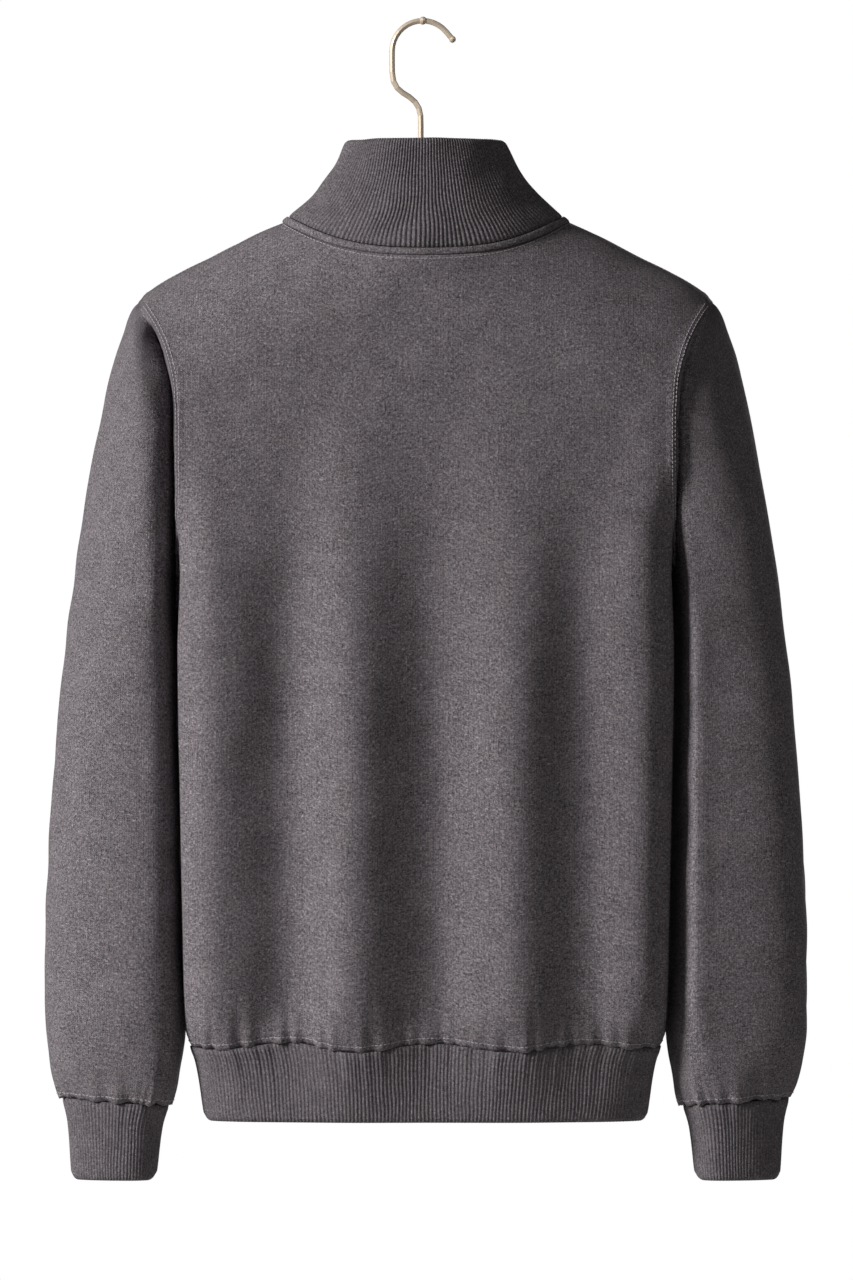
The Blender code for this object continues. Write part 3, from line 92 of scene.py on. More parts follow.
ARMHOLE = np.array([
    (-214.0, 220.6, 67.0, 68.0), (-223.0, 214.4, 67.0, 68.0), (-236.0, 206.4, 67.0, 68.0),
    (-254.0, 198.6, 67.0, 68.0), (-278.0, 193.0, 67.0, 68.0), (-308.0, 191.2, 67.0, 68.0),
    (-340.0, 190.8, 66.0, 67.0), (-370.0, 190.4, 60.0, 62.0), (-396.0, 190.0, 44.0, 47.0),
    (-413.0, 189.6, 22.0, 24.0), (-420.0, 189.3,  0.0,  0.0)])

# %% The hanging folds
# Columns: x, width, height (negative is a trough), the height at which it begins.
BACK_FOLDS = np.array([
    (-178.0, 30.0,  16.0, -225.0), (-103.0, 30.0, -15.0, -225.0), (-56.0, 30.0,  12.5, -240.0),
    (   7.0, 32.0, -11.5, -235.0), (  68.0, 32.0,  11.0, -240.0), (118.0, 28.0,  -9.0, -235.0),
    ( 184.0, 30.0,  16.0, -225.0)])
FRONT_FOLDS = np.array([
    (-150.0, 34.0,  6.0, -330.0), (-98.0, 30.0, -5.5, -320.0), (-50.0, 28.0,  5.0, -340.0),
    (  52.0, 28.0,  5.0, -330.0), ( 101.0, 30.0, -5.5, -310.0), (149.0, 34.0,  6.0, -320.0)])
FOLD_FULL_Z, FOLD_FADE_Z, FOLD_AT_SEAM, FOLD_IN_RIB, SEAM_WAVE = -560.0, -755.0, 0.45, 0.3, 0.3

# %% Measures of the sleeves and cuffs
SLEEVE_COLUMNS = ("z", "outer", "inner", "centre_y", "half_depth")
SLEEVE = np.array([
    (-470.0, 276.5, 189.6,  8.0, 62.0),
    (-520.0, 282.0, 188.9,  6.0, 60.0),
    (-560.0, 285.5, 188.3,  4.0, 58.5),
    (-600.0, 288.0, 187.6,  2.0, 57.0),
    (-650.0, 290.8, 186.8,  0.0, 54.5),
    (-700.0, 293.0, 186.0, -3.0, 51.5),
    (-745.0, 293.0, 185.4, -5.0, 48.5),
    (-772.0, 292.0, 185.2, -6.0, 46.0),
    (-791.0, 290.0, 186.4, -7.0, 43.5),
    (-806.0, 288.2, 188.8, -8.0, 41.0),
    (-817.0, 285.8, 191.6, -8.0, 38.5),
    (-828.0, 281.0, 196.5, -8.0, 35.0)])
HEAD_COLUMNS = ("z", "x")
HEAD = np.array([
    (-214.0, 220.9), (-218.0, 225.2), (-227.0, 230.0), (-237.0, 233.2), (-255.0, 239.2),
    (-283.0, 246.2), (-320.0, 253.9), (-357.0, 260.0), (-394.0, 266.2), (-431.0, 271.6),
    (-470.0, 276.5)])
UNDER_COLUMNS = ("share", "x")
UNDER = np.array([(0.0, 189.6), (0.06, 189.3), (0.12, 189.1), (0.25, 188.9), (0.6, 189.2),
                  (1.0, 189.6)])
CUFF_SEAM_Z, CUFF_SEAM_TILT, ARMHOLE_DEPTH = -828.0, 0.07, 66.0
SOFT_DIVES, DIVE_NOTCHES, NOTCH_REACHES = (27.0, 6.0), (12.0, 4.0), (10.0, 6.0)
FRONT_DIVE, DIVE_STEEP = 10.0, 2.0
DIVE_GROWS = (30.0, 55.0)             # over so much the dive grows below the shoulder point
ROUND_TOP_Z, ROUND_FADE = -250.0, 80.0    # above this the hollow is round, then it sharpens
# How far from the seam the dive reaches on the back of the left and the right sleeve.
REACH_COLUMNS = ("z", "left", "right")
DIVE_REACH = np.array([(-214.0, 12.0, 12.0), (-235.0, 20.0, 22.0), (-273.0, 32.0, 34.0),
                       (-340.0, 30.0, 38.0), (-420.0, 24.0, 34.0), (-480.0, 20.0, 30.0)])
# A sleeve's section: where its crest lies between the inner and outer edge, how squarely each
# part turns, and how the crest leans away to the outer edge. Left, then right.
CRESTS, INNER_POWERS, INNER_BACKS = (0.30, 0.20), (3.2, 1.7), (6.0, 28.0)
OUTER_POWERS, OUTER_LEANS, SHIFTS = (1.7, 4.0), (0.0, 0.20), (-4.0, -11.0)
SLEEVE_CREASE_SHARES = (0.5, 0.3)     # how much of each sleeve's creases is used
LEAN_START = 0.14                     # over this share of its width the lean begins
BACK_GROWS = 6.0                      # in the head the inner edge moves to the front so fast
CUFF_SHAPE, CUFF_BLEND = (0.32, 2.4, 2.2, 0.08), 90.0
CUFF = np.array([
    (-828.0, 279.0, 198.2,-8.0, 34.0),
    (-846.0, 275.0, 203.0,-8.0, 31.5),
    (-888.0, 272.0, 207.6,-8.0, 29.0)])

# %% Measures of the collar
COLLAR_TOP_Z, COLLAR_TOP_FRONT_Z, WELT_HEIGHT = -90.0, -108.0, 6.0
COLLAR_COLUMNS = ("share", "half_width", "back", "front", "power")
COLLAR = np.array([
    (0.00,  60.0, 58.0, 60.0, 2.1),
    (0.02,  60.9, 58.4, 60.4, 2.1),
    (0.20,  66.6, 59.5, 62.5, 2.1),
    (0.43,  74.7, 61.5, 67.0, 2.15),
    (0.65,  85.4, 65.0, 73.0, 2.2),
    (0.84,  98.9, 69.0, 79.0, 2.25),
    (1.00, 110.6, 72.0, 84.0, 2.3)])

# %% [markdown]
# ## Helpers for worked-out surfaces
#
# A table gives a measure at a few heights. Straight lines between them would show as kinks in
# soft cloth, so a smooth curve is drawn through them that never overshoots a row.

# %% Curves through a table
def curve_through(keys, values, at):
    """A smooth curve through points, without overshoot.

    Each piece is a cubic. The slope at a point is the weighted harmonic mean of the slopes of
    the two chords beside it, or 0 where they differ in sign.
    """
    keys, values = np.asarray(keys, float), np.asarray(values, float)
    if keys[0] > keys[-1]:
        keys, values = keys[::-1], values[::-1]
    step = np.diff(keys)
    chord = np.diff(values) / step
    slope = np.zeros_like(values)
    before, after = chord[:-1], chord[1:]
    weight_a, weight_b = 2.0 * step[1:] + step[:-1], step[1:] + 2.0 * step[:-1]
    same = before * after > 0.0
    safe_a, safe_b = np.where(same, before, 1.0), np.where(same, after, 1.0)
    slope[1:-1] = np.where(same, (weight_a + weight_b) / (weight_a / safe_a + weight_b / safe_b),
                           0.0)
    slope[0], slope[-1] = chord[0], chord[-1]
    held = np.clip(at, keys[0], keys[-1])
    piece = np.clip(np.searchsorted(keys, held, side="right") - 1, 0, len(step) - 1)
    t = (held - keys[piece]) / step[piece]
    return (values[piece] * (1.0 + 2.0 * t) * (1.0 - t) ** 2
            + values[piece + 1] * t * t * (3.0 - 2.0 * t)
            + step[piece] * (slope[piece] * t * (1.0 - t) ** 2
                             - slope[piece + 1] * t * t * (1.0 - t)))


def read_table(table, columns, at, name):
    """A table's named column on a smooth curve through its rows."""
    return curve_through(table[:, 0], table[:, columns.index(name)], at)


def body_at(z, name):
    """A column of the body's rings at a height."""
    return read_table(BODY, BODY_COLUMNS, z, name)


def smooth_step(value):
    """0 below 0, 1 above 1 and an S between them."""
    held = np.clip(value, 0.0, 1.0)
    return held * held * (3.0 - 2.0 * held)


def arch(share, power):
    """The height of a superellipse's arch over the share of its half width."""
    return (1.0 - np.clip(np.abs(share), 0.0, 1.0) ** power) ** (1.0 / power)


def ring_radius(angle, power):
    """A superellipse's radius at an angle, for half axes of 1."""
    return (np.abs(np.cos(angle)) ** power + np.abs(np.sin(angle)) ** power) ** (-1.0 / power)


def bump(value, centre, width):
    """A soft bell of height 1."""
    return np.exp(-((value - centre) / width) ** 2)


def at_edge(away, height, reach):
    """The height at an edge, dying away to 0 over the reach from it."""
    return height * (1.0 - smooth_step(away / reach))


def arc_length(points):
    """The length along a line of points, from its first."""
    return np.pad(np.cumsum(np.linalg.norm(np.diff(points, axis=0), axis=1)), (1, 0))


# %% [markdown]
# Cloth on a hanger is never quite even. A sum of a few slow waves, with fixed seeds, gives the
# small unevenness of a surface without any picked-out dents.

# %% Slow waves
def waves(x, z, seed, length, count=14):
    """A sum of sine waves about one length apart in random directions, near -1 to 1."""
    draw = np.random.default_rng(seed)
    total = np.zeros(np.broadcast(x, z).shape)
    for _ in range(count):
        turn, phase = draw.uniform(0.0, math.tau, 2)
        rate = math.tau / (length * draw.uniform(0.7, 1.6))
        total = total + np.sin(rate * (np.cos(turn) * x + np.sin(turn) * z) + phase)
    return total / math.sqrt(count)


# %% [markdown]
# A piece of cloth is a wall. Its outer points come from a formula, its inner points lie a
# cloth's thickness further in along the surface's normal, and the rims between them are closed.
# The map of each point's place on the cloth, in metres, is kept as UV for the knit's pattern.

# %% From a grid of points to a wall of cloth
def unit(vectors):
    """Vectors at length 1."""
    return vectors / np.linalg.norm(vectors, axis=-1, keepdims=True)


def grid_normals(points, closed):
    """Unit normals of a grid of points: the cross product of its two tangents."""
    along = np.gradient(points, axis=0)
    if closed:
        across = (np.roll(points, -1, axis=1) - np.roll(points, 1, axis=1)) / 2.0
    else:
        across = np.gradient(points, axis=1)
    return unit(np.cross(along, across))


def outward_normals(grid, closed, sign_y=None):
    """A grid's normals, turned away from its rows' middles, or to the back or the front."""
    normals = grid_normals(grid, closed)
    if sign_y is None:
        return normals * np.sign(np.sum(normals * (grid - grid.mean(axis=1, keepdims=True))))
    return normals * np.sign(normals[..., 1].mean()) * sign_y


def cloth_lengths(points):
    """Each point's distance along its row, and up its column from the last row, in metres."""
    across = np.linalg.norm(np.diff(points, axis=1), axis=2)
    down = np.linalg.norm(np.diff(points, axis=0), axis=2)
    u = np.pad(np.cumsum(across, axis=1), ((0, 0), (1, 0)))
    v = np.pad(np.cumsum(down[::-1], axis=0)[::-1], ((0, 1), (0, 0)))
    u = u - u[:, u.shape[1] // 2][:, None]
    return np.stack([u, v], axis=2) * MM


def face_grid(rows, columns, closed):
    """The corners of a grid's quads, as one array of vertex numbers."""
    row = np.arange(rows - 1)[:, None]
    column = np.arange(columns if closed else columns - 1)[None, :]
    following = (column + 1) % columns
    corners = (row * columns + column, row * columns + following,
               (row + 1) * columns + following, (row + 1) * columns + column)
    return np.stack(np.broadcast_arrays(*corners), axis=-1).reshape(-1, 4)


def make_object(name, points, faces, material, uv=None):
    """A mesh object from arrays: points in millimetres, quads, and a UV for each point."""
    mesh = bpy.data.meshes.new(name)
    mesh.vertices.add(len(points))
    mesh.vertices.foreach_set("co", (points * MM).ravel())
    mesh.loops.add(faces.size)
    mesh.loops.foreach_set("vertex_index", faces.ravel())
    mesh.polygons.add(len(faces))
    mesh.polygons.foreach_set("loop_start", np.arange(len(faces)) * faces.shape[1])
    mesh.update(calc_edges=True)
    if uv is not None:
        layer = mesh.uv_layers.new(name="cloth")
        layer.data.foreach_set("uv", uv[faces.ravel()].ravel())
    mesh.shade_smooth()
    mesh.materials.append(material)
    made = bpy.data.objects.new(name, mesh)
    bpy.context.scene.collection.objects.link(made)
    return made


def cloth_wall(name, outer, normals, closed, material, thickness=WALL, across=None):
    """A closed wall from its outer points and their outward normals.

    across replaces the UV map's first value, in millimetres.
    """
    inner = outer - thickness * normals
    rows, columns = outer.shape[:2]
    size = rows * columns
    quads = face_grid(rows, columns, closed)
    number = np.arange(size).reshape(rows, columns)
    top, bottom = number[0], number[-1]
    if closed:
        top, bottom = np.append(top, top[0]), np.append(bottom, bottom[0])
    rims = [(top[:-1], top[1:]), (bottom[1:], bottom[:-1])]
    if not closed:
        rims += [(number[1:, 0], number[:-1, 0]), (number[:-1, -1], number[1:, -1])]
    faces = [quads[:, ::-1], quads + size]
    faces += [np.stack([a, b, b + size, a + size], axis=1) for a, b in rims]
    faces = np.concatenate(faces)
    points = np.concatenate([outer.reshape(-1, 3), inner.reshape(-1, 3)])
    first = points[faces[0]]
    facing = np.cross(first[1] - first[0], first[2] - first[1])
    if facing @ normals[0, 0] < 0.0:
        faces = faces[:, ::-1]
    uv = cloth_lengths(outer)
    if across is not None:
        uv[..., 0] = across * MM
    uv = uv.reshape(-1, 2)
    made = make_object(name, points + (GARMENT_X, 0.0, 0.0), faces, material,
                       np.concatenate([uv, uv]))
    width, depth, height = np.ptp(points, axis=0)
    print(f"{name}: {2 * len(faces):,} triangles, {width:.0f} x {depth:.0f} x {height:.0f} mm")
    return made


# %% [markdown]
# ## Finishes
#
# The body is a milled knit: fine rows of V-shaped stitches under a short felted nap, spun from
# light and dark fibres, so that it looks grey with paler and darker specks. A shader group makes
# the specks and the stitches once, for all the cloth, from the cloth's own UV map. The stitches'
# low furrows are also painted darker in its colour: painted shade in the knit's grooves.

# %% The knit's shader group
def new_group(name, inputs, outputs):
    """A shader node group with named sockets."""
    group = bpy.data.node_groups.new(name, "ShaderNodeTree")
    for label, kind, value in inputs:
        socket = group.interface.new_socket(name=label, in_out="INPUT", socket_type=kind)
        socket.default_value = value
    for label, kind in outputs:
        group.interface.new_socket(name=label, in_out="OUTPUT", socket_type=kind)
    return group


def add_node(tree, kind, links=(), **settings):
    """A node with its settings, and links given as (socket, input name or number)."""
    node = tree.nodes.new(kind)
    for key, value in settings.items():
        setattr(node, key, value)
    for source, target in links:
        tree.links.new(source, node.inputs[target])
    return node


def maths(tree, operation, a, b=None, c=None):
    """A Math node's output. Numbers are set on its sockets and outputs are linked to them."""
    node = tree.nodes.new("ShaderNodeMath")
    node.operation = operation
    for place, value in enumerate((a, b, c)):
        if value is None:
            continue
        if isinstance(value, (int, float)):
            node.inputs[place].default_value = value
        else:
            tree.links.new(value, node.inputs[place])
    return node.outputs[0]


def noise(tree, vector, scale, detail, roughness=0.5):
    """A noise texture's value."""
    node = add_node(tree, "ShaderNodeTexNoise", [(vector, "Vector")])
    node.inputs["Scale"].default_value = scale
    node.inputs["Detail"].default_value = detail
    node.inputs["Roughness"].default_value = roughness
    return node.outputs[0]


FLOAT, COLOUR = "NodeSocketFloat", "NodeSocketColor"
knit = new_group("heather knit",
                 [("Base", COLOUR, (0.1, 0.1, 0.1, 1.0)), ("Flecks and stitch shade", FLOAT, 1.0),
                  ("Wales per metre", FLOAT, 520.0), ("Stitch depth", FLOAT, 1.0)],
                 [("Colour", COLOUR), ("Height", FLOAT)])
enter = knit.nodes.new("NodeGroupInput")
leave = knit.nodes.new("NodeGroupOutput")
cloth_uv = add_node(knit, "ShaderNodeUVMap", uv_map="cloth").outputs[0]
fibre = noise(knit, cloth_uv, 1000.0, 2.0, 0.6)
grain = noise(knit, cloth_uv, 420.0, 2.0, 0.55)
cloud = noise(knit, cloth_uv, 60.0, 3.0, 0.6)
mask = noise(knit, cloth_uv, 700.0, 1.0)
swirl = noise(knit, cloth_uv, 260.0, 1.0)
# A loose pale fibre lies where the swirl's value crosses its middle, broken up by the mask.
strand = maths(knit, "MULTIPLY", maths(knit, "ABSOLUTE", maths(knit, "SUBTRACT", swirl, 0.5)),
               -16.0)
strand = maths(knit, "MAXIMUM", maths(knit, "ADD", strand, 1.0), 0.0)
strand = maths(knit, "MULTIPLY", strand,
               maths(knit, "MAXIMUM", maths(knit, "MULTIPLY_ADD", mask, 5.0, -2.3), 0.0))
strand = maths(knit, "MINIMUM", strand, 1.0)
# The wales run down the cloth. In each, a stitch is two strokes that lean to the wale's middle.
split = add_node(knit, "ShaderNodeSeparateXYZ", [(cloth_uv, 0)])
sway = maths(knit, "MULTIPLY_ADD", grain, 0.9, -0.45)
wale = maths(knit, "MULTIPLY_ADD", split.outputs[0], enter.outputs["Wales per metre"], sway)
course = maths(knit, "MULTIPLY_ADD", split.outputs[1], enter.outputs["Wales per metre"], sway)
across = maths(knit, "PINGPONG", wale, 0.5)
slant = maths(knit, "ADD", maths(knit, "MULTIPLY", course, 1.25),
              maths(knit, "MULTIPLY", across, 1.5))
stroke = maths(knit, "MULTIPLY", maths(knit, "PINGPONG", slant, 0.5), 2.0)
furrow = maths(knit, "MULTIPLY", across, 2.0)
stitch = maths(knit, "MULTIPLY_ADD", stroke, 0.6, maths(knit, "MULTIPLY", furrow, 0.4))
stitch = maths(knit, "MULTIPLY", maths(knit, "SUBTRACT", stitch, 0.5),
               enter.outputs["Stitch depth"])
fleck_and_stitch_shade = maths(knit, "MULTIPLY", maths(knit, "SUBTRACT", fibre, 0.5), 3.3)
fleck_and_stitch_shade = maths(knit, "MULTIPLY_ADD", maths(knit, "SUBTRACT", grain, 0.5), 2.0, fleck_and_stitch_shade)
fleck_and_stitch_shade = maths(knit, "MULTIPLY_ADD", maths(knit, "SUBTRACT", cloud, 0.5), 0.7, fleck_and_stitch_shade)
fleck_and_stitch_shade = maths(knit, "MULTIPLY_ADD", strand, 1.3, fleck_and_stitch_shade)
# Here the stitches' low furrows are also painted darker: painted shade in the knit's grooves.
fleck_and_stitch_shade = maths(knit, "MULTIPLY_ADD", stitch, 0.6, fleck_and_stitch_shade)
bright = maths(knit, "MULTIPLY_ADD", fleck_and_stitch_shade, enter.outputs["Flecks and stitch shade"], 0.93)
bright = maths(knit, "MAXIMUM", bright, 0.15)
tinted = add_node(knit, "ShaderNodeVectorMath",
                  [(enter.outputs["Base"], 0), (bright, 1)], operation="MULTIPLY")
knit.links.new(tinted.outputs[0], leave.inputs["Colour"])
height = maths(knit, "MULTIPLY_ADD", strand, 0.5, stitch)
height = maths(knit, "MULTIPLY_ADD", fibre, 0.5, height)
height = maths(knit, "MULTIPLY_ADD", grain, 0.8, height)
knit.links.new(height, leave.inputs["Height"])


# %% Cloth finishes
def shader_of(name):
    """A new material with its tree and its Principled shader."""
    made = bpy.data.materials.new(name)
    made.use_nodes = True
    return made, made.node_tree, made.node_tree.nodes["Principled BSDF"]


def two_tones(tree, value, dark, pale, places=(0.0, 1.0)):
    """Colours the tree's shader between a dark and a pale tone by a value."""
    ramp = add_node(tree, "ShaderNodeValToRGB", [(value, 0)])
    for stop, place, colour in zip(ramp.color_ramp.elements, places, (dark, pale)):
        stop.position = place
        stop.color = (*colour, 1.0)
    tree.links.new(ramp.outputs[0], tree.nodes["Principled BSDF"].inputs["Base Color"])


def knit_finish(name, colour, fleck_and_shade_amount, wales, depth, bump_mm):
    """A knit: the group's colour and stitches, a rough surface and a soft fuzz."""
    made, tree, shader = shader_of(name)
    pattern = tree.nodes.new("ShaderNodeGroup")
    pattern.node_tree = knit
    pattern.inputs["Base"].default_value = colour
    pattern.inputs["Flecks and stitch shade"].default_value = fleck_and_shade_amount
    pattern.inputs["Wales per metre"].default_value = wales
    pattern.inputs["Stitch depth"].default_value = depth
    raised = add_node(tree, "ShaderNodeBump", [(pattern.outputs["Height"], "Height")])
    raised.inputs["Strength"].default_value = 1.0
    raised.inputs["Distance"].default_value = bump_mm * MM
    tree.links.new(pattern.outputs["Colour"], shader.inputs["Base Color"])
    tree.links.new(raised.outputs[0], shader.inputs["Normal"])
    shader.inputs["Roughness"].default_value = 0.92
    shader.inputs["Specular IOR Level"].default_value = 0.2
    shader.inputs["Sheen Weight"].default_value = 0.06
    shader.inputs["Sheen Roughness"].default_value = 0.55
    shader.inputs["Sheen Tint"].default_value = (0.9, 0.85, 0.9, 1.0)
    return made


milled_knit = knit_finish("milled_knit", (0.140, 0.1235, 0.1325, 1.0), 1.0, 520.0, 1.0, 0.3)
rib_knit = knit_finish("rib_knit", (0.118, 0.104, 0.112, 1.0), 0.8, 800.0, 0.7, 0.2)
thread, thread_tree, thread_shader = shader_of("sewing_thread")
thread_shader.inputs["Roughness"].default_value = 0.7
twist_uv = add_node(thread_tree, "ShaderNodeTexCoord").outputs["Object"]
two_tones(thread_tree, noise(thread_tree, twist_uv, 1500.0, 2.0), (0.24, 0.215, 0.23),
          (0.42, 0.38, 0.40))

# %% [markdown]
# The zip and the hook are metal. Brushed brass has faint scratches that change its roughness
# more than its colour. The hanger is varnished wood, whose grain runs along its arms.

# %% Metal, tape and wood
def metal_finish(name, colour, roughness, metallic):
    """A metal with small changes of roughness."""
    made, tree, shader = shader_of(name)
    place = add_node(tree, "ShaderNodeTexCoord").outputs["Object"]
    worn = noise(tree, place, 700.0, 4.0, 0.6)
    shader.inputs["Metallic"].default_value = metallic
    tree.links.new(maths(tree, "MULTIPLY_ADD", worn, 0.12, roughness - 0.06),
                   shader.inputs["Roughness"])
    two_tones(tree, noise(tree, place, 60.0, 3.0), [0.9 * value for value in colour], colour)
    return made


hook_brass = metal_finish("brushed_brass", (0.78, 0.64, 0.49), 0.33, 0.35)
zip_metal = metal_finish("zip_metal", (0.36, 0.33, 0.30), 0.35, 0.6)
tape_weave, tape_tree, tape_shader = shader_of("tape_weave")
tape_place = add_node(tape_tree, "ShaderNodeTexCoord").outputs["Object"]
tape_split = add_node(tape_tree, "ShaderNodeSeparateXYZ", [(tape_place, 0)])
rib_x, rib_z = (maths(tape_tree, "PINGPONG",
                      maths(tape_tree, "MULTIPLY", tape_split.outputs[axis], rate), 0.5)
                for axis, rate in ((0, 1100.0), (2, 1500.0)))
weave = maths(tape_tree, "ADD", rib_x, rib_z)
# The weave's low threads are painted darker: painted shade in the tape's grooves.
two_tones(tape_tree, weave, (0.022, 0.020, 0.021), (0.060, 0.054, 0.057))
tape_bump = add_node(tape_tree, "ShaderNodeBump", [(weave, "Height")])
tape_bump.inputs["Distance"].default_value = 0.15 * MM
tape_tree.links.new(tape_bump.outputs[0], tape_shader.inputs["Normal"])
tape_shader.inputs["Roughness"].default_value = 0.85

varnished_wood, wood_tree, wood_shader = shader_of("varnished_wood")
wood_place = add_node(wood_tree, "ShaderNodeTexCoord").outputs["Object"]
along = add_node(wood_tree, "ShaderNodeMapping", [(wood_place, "Vector")])
along.inputs["Scale"].default_value = (12.0, 160.0, 160.0)
years = noise(wood_tree, along.outputs[0], 1.0, 5.0, 0.62)
two_tones(wood_tree, years, (0.20, 0.105, 0.050), (0.46, 0.29, 0.16), (0.35, 0.68))
wood_tree.links.new(maths(wood_tree, "MULTIPLY_ADD", years, 0.2, 0.28),
                    wood_shader.inputs["Roughness"])
wood_shader.inputs["Coat Weight"].default_value = 0.4

# %% [markdown]
# ## The back and the fronts
#
# A panel is a grid whose rows run across the body and whose columns run down it. Its top edge
# is the neck seam and the shoulder seam, and its side edge follows the armhole and then the
# side seam. The row's ring gives its depth, and a roll rounds it over the shoulder.

# %% The neck seam
def neck_height(x, is_front):
    """The neck seam's height over x: a power curve that dips to the centre."""
    share = np.clip(np.abs(x) / NECK_HALF_WIDTH, 0.0, 1.0)
    lowest, power = (NECK_FRONT_Z, 2.2) if is_front else (NECK_BACK_Z, 2.6)
    return lowest + (NECK_SIDE_Z - lowest) * share ** power


def ridge_height(x):
    """The shoulder seam's height over x, carried on up where the neck's hole is."""
    inside = NECK_HALF_WIDTH - np.abs(x)
    return np.where(inside > 0.0, NECK_SIDE_Z + (RIDGE_SLOPE + RIDGE_BEND * inside) * inside,
                    curve_through(*SHOULDER.T, np.abs(x)))


def upper_depth(x, z, is_front):
    """How far a panel lies from the shoulder's plane beside the armhole.

    A superellipse through the armhole's edge, times a quarter of one below the ridge.
    """
    side = "front" if is_front else "back"
    level = np.clip(z, ARMHOLE_LOW_Z, SHOULDER_POINT_Z)
    edge_x = read_table(ARMHOLE, ARMHOLE_COLUMNS, level, "x")
    edge = read_table(ARMHOLE, ARMHOLE_COLUMNS, level, side)
    depth, power = body_at(level, side), body_at(level, side + "_power")
    half = edge_x / (1.0 - (edge / depth) ** power) ** (1.0 / power)
    left = 1.0 - np.clip((ridge_height(x) - z) / ROLL_DROP, 0.0, 1.0)
    return depth * arch(x / half, power) * arch(left, ROLL_POWER)


def neck_quarter(is_front, steps):
    """Angles and points of the seam from the centre to the neck point at the wearer's right."""
    start = ZIP_EDGE / NECK_HALF_WIDTH if is_front else 0.0
    angle = np.linspace(start, math.pi / 2, steps + 1)
    x = NECK_HALF_WIDTH * ring_radius(angle, NECK_POWER) * np.sin(angle)
    if is_front:
        x[0] = ZIP_EDGE
    z = neck_height(x, is_front)
    y = upper_depth(x, z, is_front) * (1.0 if is_front else -1.0)
    return angle, np.stack([x, y, z], axis=1)


# %% Folds, creases and puckers of the body
# Columns: x, z, length down, width, height, lean (x gained on the way down, per length).
BACK_CREASES = np.array([
    (-172.0, -380.0, 80.0, 16.0,  1.8,  0.30), ( 172.0, -380.0, 80.0, 16.0,  1.8, -0.30),
    (-150.0, -330.0, 70.0, 20.0, -1.2,  0.15), ( 150.0, -330.0, 70.0, 20.0, -1.2, -0.15),
    ( -66.0, -700.0, 90.0, 12.0,  1.0,  0.05), (  52.0, -690.0, 95.0, 12.0, -1.0,  0.00)])


def fold_depth(x, z, folds):
    """How far the hanging folds stand out at x and z: soft ridges and troughs, added up."""
    depth = np.zeros(np.broadcast(x, z).shape)
    for centre, width, height, top_z in folds:
        grown = smooth_step((top_z - z) / (top_z - FOLD_FULL_Z))
        depth = depth + height * grown * bump(x, centre, width)
    drawn_in = smooth_step((FOLD_FADE_Z - z) / (FOLD_FADE_Z - HEM_SEAM_Z))
    return depth * (1.0 - (1.0 - FOLD_AT_SEAM) * drawn_in)


def crease_depth(x, z, creases):
    """Short creases: each is a soft line that leans as it runs down."""
    depth = np.zeros(np.broadcast(x, z).shape)
    for centre, middle, length, width, height, lean in creases:
        across = x - centre - lean * (middle - z)
        depth = depth + height * bump(z, middle, length) * bump(across, 0.0, width)
    return depth


def seam_puckers(along, away, seed, reach, height):
    """Small puckers along a seam: waves of uneven length that die away from it."""
    draw = np.random.default_rng(seed)
    total = np.zeros(np.broadcast(along, away).shape)
    for length in (11.0, 17.0, 26.0, 38.0):
        drift = 3.0 * np.sin(math.tau * along / 90.0 + draw.uniform(0.0, math.tau))
        total = total + np.sin(math.tau * (along + drift) / length + draw.uniform(0.0, math.tau))
    return height * total / 2.0 * np.exp(-np.clip(away, 0.0, None) / reach)


def fold_swing(x, z, is_front):
    """How freely a fold swings: not at the side seam, nor at the zip."""
    swing = 1.0 - np.clip(np.abs(x) / body_at(z, "half_width"), 0.0, 1.0) ** 8
    if is_front:
        swing = swing * smooth_step((np.abs(x) - ZIP_EDGE) / 30.0)
    return swing


def hem_wave(x, is_front):
    """The hem seam dips under a ridge and lifts in a trough."""
    folds = FRONT_FOLDS if is_front else BACK_FOLDS
    depth = fold_depth(x, np.full_like(x, FOLD_FULL_Z), folds)
    return -SEAM_WAVE * depth * fold_swing(x, HEM_SEAM_Z, is_front)


# %% Half a panel
NECK_COLUMNS, SIDE_COLUMNS = 46, 54
BOW_FADE = 60.0          # over so much below the underarm the rows straighten
UPPER_Z = np.linspace(SHOULDER_POINT_Z, UNDERARM_Z, 78)
LOWER_Z = np.linspace(UNDERARM_Z, HEM_SEAM_Z, 134)[1:]


def panel_x(shares, edge, is_front):
    """The columns' distance from the centre where the side edge lies at edge."""
    first = shares[0]
    start = ZIP_EDGE if is_front else 0.0
    return start + (edge - start) * (shares - first) / (1.0 - first)


def ring_length(x, row_z, side):
    """The cloth's length round a plain ring from the centre to each x."""
    depth = body_at(row_z, side) * arch(x / (SHOULDER[-1, 0] + 1.0), 3.0)
    return x[0] + np.pad(np.cumsum(np.hypot(np.diff(x), np.diff(depth))), (1, 0))


